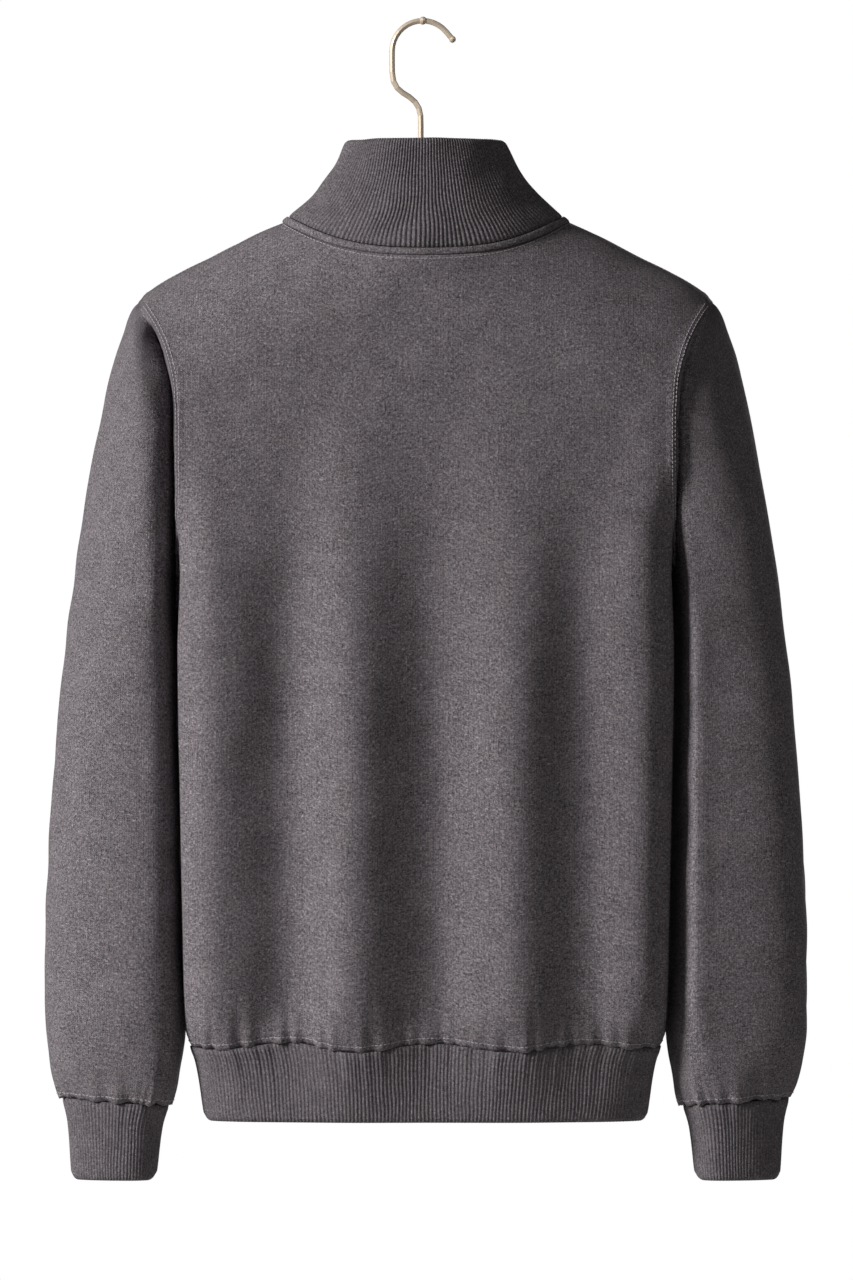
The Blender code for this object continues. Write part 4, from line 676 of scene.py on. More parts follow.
def half_panel(is_front, hand):
    """The outer points of half a panel, rows down, columns from the centre to the side.

    With them comes the cloth's length from the centre to each point, for the knit's pattern.
    Above the underarm a row is a share of the way from the top edge to the level row.
    """
    sign = 1.0 if is_front else -1.0
    side = "front" if is_front else "back"
    folds = FRONT_FOLDS if is_front else BACK_FOLDS
    neck = neck_quarter(is_front, NECK_COLUMNS)[1]
    edge = SHOULDER[-1, 0]
    shares = np.concatenate([neck[:, 0] / edge,
                             np.linspace(NECK_HALF_WIDTH / edge, 1.0, SIDE_COLUMNS + 1)[1:]])
    top_x = panel_x(shares, edge, is_front)
    top_z = np.concatenate([neck[:, 2], curve_through(*SHOULDER.T, top_x[NECK_COLUMNS + 1:])])
    rows, across = [], []
    for row_z in UPPER_Z:
        edge_x = read_table(ARMHOLE, ARMHOLE_COLUMNS, row_z, "x")
        share = (row_z - SHOULDER_POINT_Z) / (UPPER_END_Z - SHOULDER_POINT_Z)
        x = panel_x(shares, edge_x, is_front)
        z = top_z * (1.0 - share) + UPPER_END_Z * share
        depth = upper_depth(x, z, is_front) \
            + (1.0 - (x / edge_x) ** 8) * fold_depth(hand * x, z, folds)
        across.append(ring_length(x, row_z, side))
        rows.append(np.stack([x, sign * depth, z], axis=1))
    last = rows[-1][:, 2]
    for row_z in LOWER_Z:
        half, widest = body_at(row_z, "half_width"), body_at(row_z, "widest")
        depth = body_at(row_z, side) - sign * widest
        x = panel_x(shares, half, is_front)
        bow = smooth_step(1.0 - (UNDERARM_Z - row_z) / BOW_FADE)
        z = np.full_like(x, row_z) + (last - UNDERARM_Z) * bow
        near_seam = smooth_step((FOLD_FADE_Z - row_z) / (FOLD_FADE_Z - HEM_SEAM_Z))
        z = z + hem_wave(hand * x, is_front) * near_seam
        swing = fold_swing(x, row_z, is_front)
        y = widest + sign * depth * arch(x / half, body_at(row_z, side + "_power"))
        y = y + sign * swing * fold_depth(hand * x, np.full_like(x, row_z), folds)
        across.append(ring_length(x, row_z, side))
        rows.append(np.stack([x, y, z], axis=1))
    return np.stack(rows) * (hand, 1.0, 1.0), hand * np.stack(across)


FRONT_CREASE_SHARE = 0.5
HEM_LINE, CUFF_LINE = 4.6, 4.2        # the stitched line's distance from each seam
LINE_DEPTH, LINE_WIDTH = 0.5, 0.9     # the furrow that the stitches pull in there
BAND_WIDTH, BAND_RISE, BAND_LINES = 5.4, 1.0, (1.6, 4.6)     # the armhole's stitched band
BAND_LINE_DEPTH, BAND_LINE_WIDTH = 0.7, 0.7
# Height and length of the slow unevenness, reach and height of puckers, and height and reach of
# the turned-in edges.
PANEL_UNEVEN, HEM_PUCKERS, ARMHOLE_PUCKERS = (0.45, 55.0), (13.0, 2.1), (9.0, 0.5)
SEAM_ROLL, ARMHOLE_ROLL = (0.6, 2.4), (0.3, 1.2)


def dress_panel(points, is_front, seed):
    """Add what the plain form lacks, along the normal: unevenness, creases and puckers.

    At each seam the cloth also turns in a little, which leaves a furrow between two pieces.
    """
    normals = outward_normals(points, False, 1.0 if is_front else -1.0)
    x, z = points[..., 0], points[..., 2]
    half = body_at(z, "half_width")
    above_hem = z - (HEM_SEAM_Z + hem_wave(x, is_front))
    in_upper = smooth_step((z - UNDERARM_Z) / 30.0)
    edge = np.where(z > UNDERARM_Z, read_table(ARMHOLE, ARMHOLE_COLUMNS, z, "x"), half)
    from_side = np.abs(edge - np.abs(x))
    uneven, wave_length = PANEL_UNEVEN
    moved = uneven * waves(x, z, seed, wave_length) * smooth_step(from_side / 12.0)
    moved += (FRONT_CREASE_SHARE if is_front else 1.0) * crease_depth(x, z, BACK_CREASES)
    moved += seam_puckers(x, above_hem, seed + 1, *HEM_PUCKERS) * smooth_step(from_side / 8.0)
    moved -= LINE_DEPTH * bump(above_hem, HEM_LINE, LINE_WIDTH)
    moved += in_upper * seam_puckers(z, from_side, seed + 2, *ARMHOLE_PUCKERS)
    moved += in_upper * at_edge(from_side - BAND_WIDTH, BAND_RISE, 1.4)
    moved -= in_upper * BAND_LINE_DEPTH * sum(bump(from_side, line, BAND_LINE_WIDTH)
                                              for line in BAND_LINES)
    roll = at_edge(above_hem, *SEAM_ROLL) + in_upper * at_edge(from_side, *ARMHOLE_ROLL)
    return points + (moved - roll)[..., None] * normals


left_half, right_half = (half_panel(False, hand) for hand in (-1, 1))
back_plain, back_across = (np.concatenate([left[:, ::-1][:, :-1], right], axis=1)
                           for left, right in zip(left_half, right_half))
back_outer = dress_panel(back_plain, False, 3)
back_up = outward_normals(back_outer, False, -1.0)
back = cloth_wall("back_cloth", back_outer, back_up, False, milled_knit, across=back_across)
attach(back, "jacket")
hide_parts("back_panel")

# %% The two fronts
front_grids = []
for hand, side in HANDS:
    front_plain, front_across = half_panel(True, hand)
    front_outer = dress_panel(front_plain, True, 20 + hand)
    front_up = outward_normals(front_outer, False, 1.0)
    front = cloth_wall("front_cloth_" + side, front_outer, front_up, False, milled_knit,
                       across=front_across)
    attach(front, "jacket")
    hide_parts("front_" + side)
    front_grids.append((front_outer, front_up))

# %% [markdown]
# ## The sleeves
#
# A sleeve is a closed tube. Its head starts on the armhole's own points and changes smoothly
# into a superellipse. Beside the armhole the cloth dives in, which makes the dark crease under
# the shoulder. Below it hangs in long folds, and the cuff draws it up into small pleats.

# %% The sleeve's surface
SLEEVE_COLUMNS_ROUND = 128
turns = np.linspace(0.0, math.tau, SLEEVE_COLUMNS_ROUND, endpoint=False)
PATTERN_WIDTH = 104.0                 # the sleeve's width half way down, for the pattern
HEAD_SHARES = np.linspace(0.0, 1.0, 90) ** 1.5
TUBE_Z = np.linspace(SLEEVE[0, 0], SLEEVE[-1, 0], 122)[1:]


def armhole_points(turns):
    """The armhole's points at the sleeve's angles: down its back edge, then up its front."""
    z = np.linspace(SHOULDER_POINT_Z, UNDERARM_Z, 600)
    x = read_table(ARMHOLE, ARMHOLE_COLUMNS, z, "x")
    back_y = -read_table(ARMHOLE, ARMHOLE_COLUMNS, z, "back")
    front_y = read_table(ARMHOLE, ARMHOLE_COLUMNS, z, "front")
    ridge = arch(1.0 - np.clip((ridge_height(x) - z) / ROLL_DROP, 0.0, 1.0), ROLL_POWER)
    back_y, front_y = back_y * ridge, front_y * ridge
    length = arc_length(np.stack([x, back_y, z], axis=1))
    share = np.where(turns <= math.pi, turns, math.tau - turns) / math.pi
    at = share * length[-1]
    y = np.where(turns <= math.pi, np.interp(at, length, back_y), np.interp(at, length, front_y))
    return np.stack([np.interp(at, length, x), y, np.interp(at, length, z)], axis=1)


def tube_section(turns, outer_point, inner_point, half_depth, shape):
    """A rounded section between an outer and an inner point.

    shape holds the crest's place, the powers of the inner and outer part and the outer lean.
    Each part is a quarter of a superellipse. Their middle line runs straight out from the
    crest and then leans to the front; inwards it bends to the front with the square of the way.
    """
    crest, inner_power, outer_power, lean = shape
    is_outer = np.cos(turns) > 0.0
    radius = np.where(is_outer, ring_radius(turns, outer_power), ring_radius(turns, inner_power))
    reach = np.abs(radius * np.cos(turns))
    along = np.where(is_outer, (1.0 - crest) * (1.0 - reach), 1.0 - crest + crest * reach)
    line = outer_point + (inner_point - outer_point) * along[:, None]
    line[:, 1] = outer_point[1] + np.where(
        is_outer, 0.0, (inner_point[1] - outer_point[1]) * reach ** 2)
    width = np.abs(outer_point[0] - inner_point[0]) * (1.0 - crest)
    line[:, 1] += np.where(is_outer, lean * width * (reach - reach ** 4 / 4.0)
                           * smooth_step(reach / LEAN_START), 0.0)
    line[:, 1] -= half_depth * radius * np.sin(turns)
    return line


def sleeve_shape(side):
    """The section's shape of one sleeve."""
    return CRESTS[side], INNER_POWERS[side], OUTER_POWERS[side], OUTER_LEANS[side]


def head_section(share, side):
    """The sleeve head's section at a share of the way from the armhole to the level tube."""
    outer_z = SHOULDER_POINT_Z + (SLEEVE[0, 0] - SHOULDER_POINT_Z) * share
    inner_z = UNDERARM_Z + (SLEEVE[0, 0] - UNDERARM_Z) * share
    middle = (SLEEVE[0, 3] + SHIFTS[side]) * smooth_step(share)
    outer_point = np.array([read_table(HEAD, HEAD_COLUMNS, outer_z, "x"), middle, outer_z])
    inner_point = np.array([read_table(UNDER, UNDER_COLUMNS, share, "x"),
                            middle + INNER_BACKS[side] * smooth_step(share * BACK_GROWS), inner_z])
    depth = ARMHOLE_DEPTH + (SLEEVE[0, 4] - ARMHOLE_DEPTH) * share
    return tube_section(turns, outer_point, inner_point, depth, sleeve_shape(side))


def armhole_dive(points, side):
    """How far the sleeve dives in beside the armhole.

    It is a wide soft hollow and a narrow notch at the seam. Each goes with the square of what
    is left of its reach, but at the top the hollow is round instead. The dive grows from the
    shoulder down and fades below the underarm.
    """
    x, z = points[:, 0], points[:, 2]
    off = x - read_table(ARMHOLE, ARMHOLE_COLUMNS, np.maximum(z, ARMHOLE_LOW_Z), "x")
    is_back = turns <= math.pi
    grows = smooth_step((SHOULDER_POINT_Z - 4.0 - z) / DIVE_GROWS[side])
    fades = 1.0 - smooth_step((UNDERARM_Z - z) / 60.0)
    reach = read_table(DIVE_REACH, REACH_COLUMNS, z, REACH_COLUMNS[1 + side])
    sharp = smooth_step((ROUND_TOP_Z - z) / ROUND_FADE)
    left = np.clip(1.0 - off / reach, 0.0, 1.0)
    soft = np.where(is_back, SOFT_DIVES[side], -0.5 * FRONT_DIVE) \
        * (sharp * left ** 2 + (1.0 - sharp) * smooth_step(left))
    notch = np.where(is_back, DIVE_NOTCHES[side], -0.5 * FRONT_DIVE) \
        * np.clip(1.0 - off / NOTCH_REACHES[side], 0.0, 1.0) ** 2
    form = smooth_step(off / DIVE_STEEP) * (soft + notch)
    return grows * fades * form * smooth_step(np.abs(np.sin(turns)) / 0.35)


def sleeve_form(side):
    """A right sleeve's outer points, from the armhole to the cuff seam."""
    shape = sleeve_shape(side)
    loop, first = armhole_points(turns), head_section(0.0, side)
    rows = []
    for share in HEAD_SHARES:
        left_over = 1.0 - smooth_step(share / 0.75)
        row = head_section(share, side) + left_over * (loop - first)
        row[:, 1] += armhole_dive(row, side)
        rows.append(row)
    for z in TUBE_Z:
        outer_x, inner_x, centre_y, half_depth = (
            read_table(SLEEVE, SLEEVE_COLUMNS, z, name) for name in SLEEVE_COLUMNS[1:])
        free = smooth_step((z - CUFF_SEAM_Z) / CUFF_BLEND)
        here = tuple(at_cuff + (at_arm - at_cuff) * free
                     for at_cuff, at_arm in zip(CUFF_SHAPE, shape))
        centre_y += SHIFTS[side] * free
        row = tube_section(turns, np.array([outer_x, centre_y, z]),
                           np.array([inner_x, centre_y + INNER_BACKS[side] * free, z]),
                           half_depth, here)
        tilt = CUFF_SEAM_TILT * smooth_step(1.0 - (z - CUFF_SEAM_Z) / 30.0)
        row[:, 2] += tilt * (row[:, 0] - (outer_x + inner_x) / 2.0)
        rows.append(row)
    return np.stack(rows)


# Columns: z, the angle round the sleeve there (0 outer, a quarter turn at the back), length
# down, width in angle, height, and lean (angle gained per 100 mm down).
SLEEVE_CREASES = np.array([
    (-330.0, 1.05, 120.0, 0.35,  2.0,  0.10), (-420.0, 1.70, 120.0, 0.30,  2.4, -0.20),
    (-400.0, 0.75,  90.0, 0.25, -1.5,  0.15), (-560.0, 1.35, 110.0, 0.30, -2.0,  0.12),
    (-610.0, 0.80, 130.0, 0.28,  1.8, -0.08), (-640.0, 1.90, 120.0, 0.30,  1.6,  0.05),
    (-720.0, 1.15,  90.0, 0.25, -1.5, -0.10), (-560.0, 4.60, 160.0, 0.40,  2.0,  0.05),
    (-700.0, 4.10, 120.0, 0.30, -1.6,  0.05), (-430.0, 4.90, 120.0, 0.30, -1.6,  0.10)])


def sleeve_around(points, shape):
    """The cloth's length round the sleeve from its outer line, at every point.

    Below the underarm it is the arc's length on a section half way down. Beside the armhole
    the inner part is the plain distance instead.
    """
    x, z = points[..., 0], points[..., 2]
    outer = np.where(z > SLEEVE[0, 0], read_table(HEAD, HEAD_COLUMNS, z, "x"),
                     read_table(SLEEVE, SLEEVE_COLUMNS, z, "outer"))
    inner = np.where(z > UNDERARM_Z, read_table(ARMHOLE, ARMHOLE_COLUMNS, z, "x"),
                     read_table(SLEEVE, SLEEVE_COLUMNS, z, "inner"))
    share = np.clip((outer - x) / (outer - inner), 0.0, 1.0)
    fine = tube_section(np.linspace(0.0, math.pi, 400), np.array([PATTERN_WIDTH, 0.0, 0.0]),
                        np.zeros(3), SLEEVE[3, 4], shape)
    length = arc_length(fine)
    way = 1.0 - fine[:, 0] / PATTERN_WIDTH
    tube = np.interp(share, way, length)
    middle = outer + (inner - outer) * (1.0 - shape[0])
    at_middle = np.interp(1.0 - shape[0], way, length)
    plain = np.where(x > middle, tube, at_middle + middle - x)
    tube = tube + (plain - tube) * smooth_step((z - UNDERARM_Z + 60.0) / 60.0)
    return np.where(turns <= math.pi, tube, -tube)


# Height and length of the slow unevenness, and reach and height of pleats and puckers.
SLEEVE_UNEVEN, CUFF_PLEATS, HEAD_PUCKERS = (0.6, 60.0), (12.0, 2.2), (10.0, 0.55)
SLEEVE_RADIUS = 46.0                  # turns the angle round the sleeve into a length


def dress_sleeve(points, seed, crease_share):
    """Unevenness, long soft creases, armhole puckers and the pleats above the cuff."""
    normals = outward_normals(points, True)
    z = points[..., 2]
    angle = np.broadcast_to(turns, z.shape)
    rows_down = np.linalg.norm(np.diff(points, axis=0), axis=2)
    from_armhole = np.pad(np.cumsum(rows_down, axis=0), ((1, 0), (0, 0)))
    from_cuff = from_armhole[-1] - from_armhole
    around = angle * SLEEVE_RADIUS
    uneven, wave_length = SLEEVE_UNEVEN
    moved = uneven * waves(around, z, seed, wave_length)
    for at_z, at_angle, length, width, height, lean in SLEEVE_CREASES:
        turn = angle - at_angle - lean * (at_z - z) / 100.0
        turn = (turn + math.pi) % math.tau - math.pi
        moved = moved + crease_share * height * bump(z, at_z, length) * bump(turn, 0.0, width)
    moved = moved * smooth_step(from_armhole / 30.0) * smooth_step(from_cuff / 25.0)
    moved = moved + seam_puckers(around, from_cuff, seed + 1, *CUFF_PLEATS)
    moved = moved - LINE_DEPTH * bump(from_cuff, CUFF_LINE, LINE_WIDTH)
    moved = moved + seam_puckers(around * 1.4, from_armhole, seed + 2, *HEAD_PUCKERS)
    return points + (moved - at_edge(from_cuff, *SEAM_ROLL))[..., None] * normals


sleeve_grids = []
for number, (hand, side) in enumerate(HANDS):
    sleeve_plain = sleeve_form(number)
    sleeve_outer = dress_sleeve(sleeve_plain, 40 + 7 * hand,
                                SLEEVE_CREASE_SHARES[number]) * (hand, 1.0, 1.0)
    sleeve = cloth_wall("sleeve_cloth_" + side, sleeve_outer,
                        outward_normals(sleeve_outer, True), True, milled_knit,
                        across=sleeve_around(sleeve_plain, sleeve_shape(number)))
    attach(sleeve, "jacket")
    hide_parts("sleeve_" + side)
    sleeve_grids.append(sleeve_outer)

# %% [markdown]
# ## Ribs
#
# Rib knit is rows of raised wales with narrow grooves between. A rib's height round the piece
# is a power of a cosine, so that its top is broad and its groove narrow. The wales wander a
# little, because knit is soft.

# %% The ribs' profile
def rib_height(phase, height):
    """A rib's height at a phase: 0 in the groove, broad on top."""
    return height * (1.0 - np.abs(np.cos(math.pi * phase)) ** 3.0)


def wander(at, down, seed):
    """How far a wale strays sideways, as a share of a rib: slow waves along and across."""
    return 0.16 * waves(at * 4.0, down, seed, 38.0, 8)


# %% [markdown]
# ## The collar and its welt
#
# The stand collar is a ring that flares down to the neck seam. It has about 160 ribs. Below
# them a plain roll of the same cloth, the welt, covers the seam.

# %% The collar's surface
def neck_loop():
    """Angles and points of the whole neck seam, from one front edge round to the other."""
    back_angle, back_points = neck_quarter(False, NECK_COLUMNS)
    front_angle, front_points = neck_quarter(True, NECK_COLUMNS)
    right = np.concatenate([back_points, front_points[::-1][1:]])
    right_angle = np.concatenate([back_angle, math.pi - front_angle[::-1][1:]])
    left = right[::-1][:-1] * (-1.0, 1.0, 1.0)
    return np.concatenate([-right_angle[::-1][:-1], right_angle]), np.concatenate([left, right])


SEAM_ANGLES, SEAM_POINTS = neck_loop()


def on_neck(angle):
    """Points on the neck seam at any angles."""
    return np.stack([np.interp(angle, SEAM_ANGLES, SEAM_POINTS[:, axis]) for axis in range(3)],
                    axis=-1)


def collar_point(angle, share):
    """A point of the collar: round its ring at an angle, and down it at a share.

    The ring is a superellipse, and the last part blends into the neck seam's own points.
    """
    seam_angle = angle
    half_width = read_table(COLLAR, COLLAR_COLUMNS, share, "half_width")
    angle = angle * (math.pi - ZIP_EDGE / half_width) / (math.pi - ZIP_EDGE / NECK_HALF_WIDTH)
    front = np.abs(angle) > math.pi / 2
    power = read_table(COLLAR, COLLAR_COLUMNS, share, "power")
    depth = np.where(front, read_table(COLLAR, COLLAR_COLUMNS, share, "front"),
                     read_table(COLLAR, COLLAR_COLUMNS, share, "back"))
    radius = ring_radius(angle, power)
    x, y = half_width * radius * np.sin(angle), -depth * radius * np.cos(angle)
    frontness = smooth_step(-np.cos(angle))
    top = COLLAR_TOP_Z + (COLLAR_TOP_FRONT_Z - COLLAR_TOP_Z) * frontness
    base_radius = ring_radius(angle, NECK_POWER)
    base_x = NECK_HALF_WIDTH * base_radius * np.sin(angle)
    base = np.where(front, neck_height(base_x, True), neck_height(base_x, False))
    plain = np.stack([x, y, top + (base - top) * share], axis=-1)
    plain_base = np.stack([base_x, -np.where(front, NECK_FRONT, NECK_BACK)
                           * base_radius * np.cos(angle), base], axis=-1)
    return plain + (on_neck(seam_angle) - plain_base) * share[..., None] ** 6


def collar_normals(angle, share):
    """Outward unit normals on the collar, from small steps round it and down it."""
    step, wide = 0.001, 0.04
    held = np.clip(share, step, 1.0 - step)
    down = collar_point(angle, held + step) - collar_point(angle, held - step)
    across = collar_point(angle + wide, held) - collar_point(angle - wide, held)
    normal = unit(np.cross(down, across))
    outward = np.stack([np.sin(angle), -np.cos(angle), np.zeros_like(angle)], axis=-1)
    return normal * np.sign(np.sum(normal * outward, axis=-1))[..., None]


def even_neck_angles(count):
    """Even steps along the neck seam from one zip edge, by the back, to the other."""
    length = arc_length(SEAM_POINTS)
    return np.interp(np.linspace(0.0, length[-1], count), length, SEAM_ANGLES)


def collar_drop(angles):
    """The length of the collar from its top edge to the seam, at each angle."""
    ends = [collar_point(angles, np.full_like(angles, end)) for end in (0.0, 1.0)]
    return np.linalg.norm(ends[1] - ends[0], axis=-1)


COLLAR_RIBS, POINTS_PER_RIB, COLLAR_RIB_HEIGHT = 160, 6, 0.95
COLLAR_RADIUS, COLLAR_HEIGHT = 90.0, 100.0    # turn an angle and a share into lengths
rib_angles = even_neck_angles(COLLAR_RIBS * POINTS_PER_RIB + 1)
welt_at = 1.0 - WELT_HEIGHT / collar_drop(rib_angles)
steps_down = np.linspace(0.0, 1.0, 30)[:, None]
angle_grid = np.broadcast_to(rib_angles, (len(steps_down), len(rib_angles))).copy()
share_grid = steps_down * (welt_at - 0.0035)
collar_foot = collar_point(angle_grid, share_grid)
collar_out = collar_normals(angle_grid, share_grid)
phase = np.linspace(0.0, COLLAR_RIBS, len(rib_angles))
down_mm = steps_down * COLLAR_HEIGHT
phase_grid = phase + wander(phase[None, :], down_mm, 11)
rise = rib_height(phase_grid, COLLAR_RIB_HEIGHT) * (1.0 - at_edge(steps_down, 0.25, 0.03))
edge_roll = at_edge(steps_down, 0.6, 0.02) + at_edge(1.0 - steps_down, 0.5, 0.02)
soft = 0.5 * waves(rib_angles[None, :] * COLLAR_RADIUS, down_mm, 12, 45.0)
collar_outer = collar_foot + (rise - edge_roll + soft)[..., None] * collar_out
collar_outer[:, 0, 0], collar_outer[:, -1, 0] = -ZIP_EDGE, ZIP_EDGE
collar = cloth_wall("collar_cloth", collar_outer, collar_out, False, rib_knit, RIB_WALL)
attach(collar, "jacket")
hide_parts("collar")

# %% The welt
welt_angles = even_neck_angles(421)
welt_steps = np.linspace(0.0, 1.0, 11)[:, None]
welt_grid = np.broadcast_to(welt_angles, (len(welt_steps), len(welt_angles))).copy()
drop = collar_drop(welt_angles)
welt_shares = 1.0 - (WELT_HEIGHT - 0.2) / drop + welt_steps * (WELT_HEIGHT - 0.5) / drop
welt_foot = collar_point(welt_grid, welt_shares)
welt_out = collar_normals(welt_grid, np.clip(welt_shares, 0.0, 0.9))
welt_rise = 1.75 * arch(2.0 * welt_steps - 1.0, 2.6) - 0.35
welt_rise = welt_rise + 0.12 * waves(welt_angles * COLLAR_RADIUS, welt_steps, 14, 16.0)
welt_outer = welt_foot + welt_rise[..., None] * welt_out
welt_outer[:, 0, 0], welt_outer[:, -1, 0] = -ZIP_EDGE, ZIP_EDGE
welt = cloth_wall("welt_cloth", welt_outer, welt_out, False, milled_knit)
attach(welt, "jacket")
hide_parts("neck_welt")

# %% [markdown]
# ## The hem rib and the cuffs
#
# The hem rib draws the body in. The hanging folds run on into it and fade towards its edge.

# %% The hem rib's surface
CORNER_RADIUS, CORNER_POWER = 5.5, 9   # the power keeps the lift to the last rows
# What the hem and the cuffs share: points to a rib, a rib's height, and the height and reach (a
# share of the way down) of the edges that turn in, above and below.
RIB_POINTS, RIB_HEIGHT, SEAM_EDGE, FREE_EDGE = 5, 0.7, (0.5, 0.05), (0.8, 0.05)


def corner_rise(x, low, high):
    """Lift of a bottom edge near its two ends: a quarter circle at each."""
    past = np.maximum(np.maximum(low + CORNER_RADIUS - x, x - high + CORNER_RADIUS), 0.0)
    past = np.minimum(past, CORNER_RADIUS)
    return CORNER_RADIUS - np.sqrt(CORNER_RADIUS ** 2 - past ** 2)


def hem_ring(angle, z):
    """x and y of the body's ring at an angle round it, 0 at the centre back."""
    front = np.abs(angle) > math.pi / 2
    power = np.where(front, body_at(z, "front_power"), body_at(z, "back_power"))
    widest = body_at(z, "widest")
    depth = np.where(front, body_at(z, "front") - widest, body_at(z, "back") + widest)
    radius = ring_radius(angle, power)
    return body_at(z, "half_width") * radius * np.sin(angle), \
        widest - depth * radius * np.cos(angle)


HEM_RING_Z = -797.0                   # the ribs are even on the ring at this height


def even_hem_angles(count):
    """Even steps round the hem from one zip edge, by the back, to the other."""
    fine = np.linspace(-math.pi, math.pi, 2881)
    x, y = hem_ring(fine, HEM_RING_Z)
    length = arc_length(np.stack([x, y], axis=1))
    by_zip = (y > 0) & (np.abs(x) < 40.0)
    left, right = by_zip & (x < 0), by_zip & (x > 0)
    first = np.interp(ZIP_EDGE, -x[left], length[left])
    last = np.interp(ZIP_EDGE, x[right][::-1], length[right][::-1])
    return np.interp(np.linspace(first, last, count), length, fine)


HEM_RIBS, HEM_RIB_PITCH = 288, 3.4
hem_angles = even_hem_angles(HEM_RIBS * RIB_POINTS + 1)
hem_front = np.abs(hem_angles) > math.pi / 2
hem_steps = np.linspace(0.0, 1.0, 16)
hem_rows = []
for step in hem_steps:
    z = HEM_SEAM_Z + (HEM_BOTTOM_Z - HEM_SEAM_Z) * step
    x, y = hem_ring(hem_angles, z)
    x[0], x[-1] = -ZIP_EDGE, ZIP_EDGE
    full = np.full_like(x, FOLD_FULL_Z)
    stands = np.where(hem_front,
                      fold_swing(x, HEM_SEAM_Z, True) * fold_depth(x, full, FRONT_FOLDS),
                      -fold_swing(x, HEM_SEAM_Z, False) * fold_depth(x, full, BACK_FOLDS))
    y = y + FOLD_AT_SEAM * (1.0 - (1.0 - FOLD_IN_RIB) * smooth_step(step)) * stands
    wave = np.where(hem_front, hem_wave(x, True), hem_wave(x, False))
    z = z + wave * (1.0 - step) ** 2 - SEAM_GAP * (1.0 - step) \
        + corner_rise(x, x.min(), x.max()) * step ** CORNER_POWER
    hem_rows.append(np.stack([x, y, z], axis=1))
hem_foot = np.stack(hem_rows)
hem_out = grid_normals(hem_foot, False)
hem_out = hem_out * np.sign(np.sum(hem_out[..., :2] * hem_foot[..., :2]))
hem_phase = np.linspace(0.0, HEM_RIBS, len(hem_angles))
hem_down = hem_steps[:, None] * (HEM_SEAM_Z - HEM_BOTTOM_Z)
hem_ribs = rib_height(hem_phase + wander(hem_phase[None, :], hem_down, 21), RIB_HEIGHT)
hem_edge = at_edge(hem_steps[:, None], *SEAM_EDGE) + at_edge(1.0 - hem_steps[:, None], *FREE_EDGE)
hem_soft = seam_puckers(hem_phase[None, :] * HEM_RIB_PITCH, hem_down, 22, 22.0, 0.5)
hem_outer = hem_foot + (hem_ribs - hem_edge + hem_soft)[..., None] * hem_out
hem_outer[:, 0, 0], hem_outer[:, -1, 0] = -ZIP_EDGE, ZIP_EDGE
hem = cloth_wall("hem_cloth", hem_outer, hem_out, False, rib_knit, RIB_WALL)
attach(hem, "jacket")
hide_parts("hem_rib")

# %% The cuffs
CUFF_RIBS, CUFF_RIB_PITCH = 84, 3.0


def even_turns(section, count):
    """Angles round a section that part it into equal lengths."""
    _, outer_x, inner_x, _, half_depth = section
    fine = np.linspace(0.0, math.tau, 1441)
    ring = tube_section(fine, np.array([outer_x - inner_x, 0.0, 0.0]), np.zeros(3), half_depth,
                        CUFF_SHAPE)
    length = arc_length(ring)
    return np.interp(np.arange(count) / count * length[-1], length, fine)


cuff_turns = even_turns(CUFF[1], CUFF_RIBS * RIB_POINTS)
cuff_steps = np.linspace(0.0, 1.0, 18)
cuff_rows = []
for step in cuff_steps:
    z = CUFF[0, 0] + (CUFF[-1, 0] - CUFF[0, 0]) * step
    outer_x, inner_x, centre_y, half_depth = (
        read_table(CUFF, SLEEVE_COLUMNS, z, name) for name in SLEEVE_COLUMNS[1:])
    row = tube_section(cuff_turns, np.array([outer_x, centre_y, z]),
                       np.array([inner_x, centre_y, z]), half_depth, CUFF_SHAPE)
    x = row[:, 0]
    row[:, 2] += (CUFF_SEAM_TILT * (x - (outer_x + inner_x) / 2.0) - SEAM_GAP) * (1.0 - step) \
        + corner_rise(x, x.min(), x.max()) * step ** CORNER_POWER
    cuff_rows.append(row)
cuff_foot = np.stack(cuff_rows)
cuff_out = outward_normals(cuff_foot, True)
cuff_phase = np.arange(len(cuff_turns)) / RIB_POINTS
cuff_down = cuff_steps[:, None] * (CUFF[0, 0] - CUFF[-1, 0])
cuff_edge = at_edge(cuff_steps[:, None], *SEAM_EDGE) \
    + at_edge(1.0 - cuff_steps[:, None], *FREE_EDGE)
for hand, side in HANDS:
    ribs = rib_height(cuff_phase + wander(cuff_phase[None, :], cuff_down, 31 + hand), RIB_HEIGHT)
    soft = seam_puckers(cuff_phase[None, :] * CUFF_RIB_PITCH, cuff_down, 33 + hand, 16.0, 0.45)
    cuff_outer = (cuff_foot + (ribs - cuff_edge + soft)[..., None] * cuff_out) * (hand, 1.0, 1.0)
    cuff = cloth_wall("cuff_cloth_" + side, cuff_outer, cuff_out * (hand, 1.0, 1.0), True,
                      rib_knit, RIB_WALL)
    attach(cuff, "jacket")
    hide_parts("cuff_" + side)

# %% [markdown]
# ## Sewing and the zip's teeth
#
# Every stitch and every tooth is the same small lozenge: six sides, narrower at both ends. A
# row of stitches keeps a set distance from a seam. So for each row of a cloth's grid that
# starts at the seam, the point is found at that length along the row, and the line through
# these points is then stepped off at the stitch's pitch.

# %% Small repeated shapes
LOZENGE = np.array([(-1.0, 0.4), (-0.7, 1.0), (0.7, 1.0), (1.0, 0.4)])     # along, radius
LOZENGE_SIDES = 6


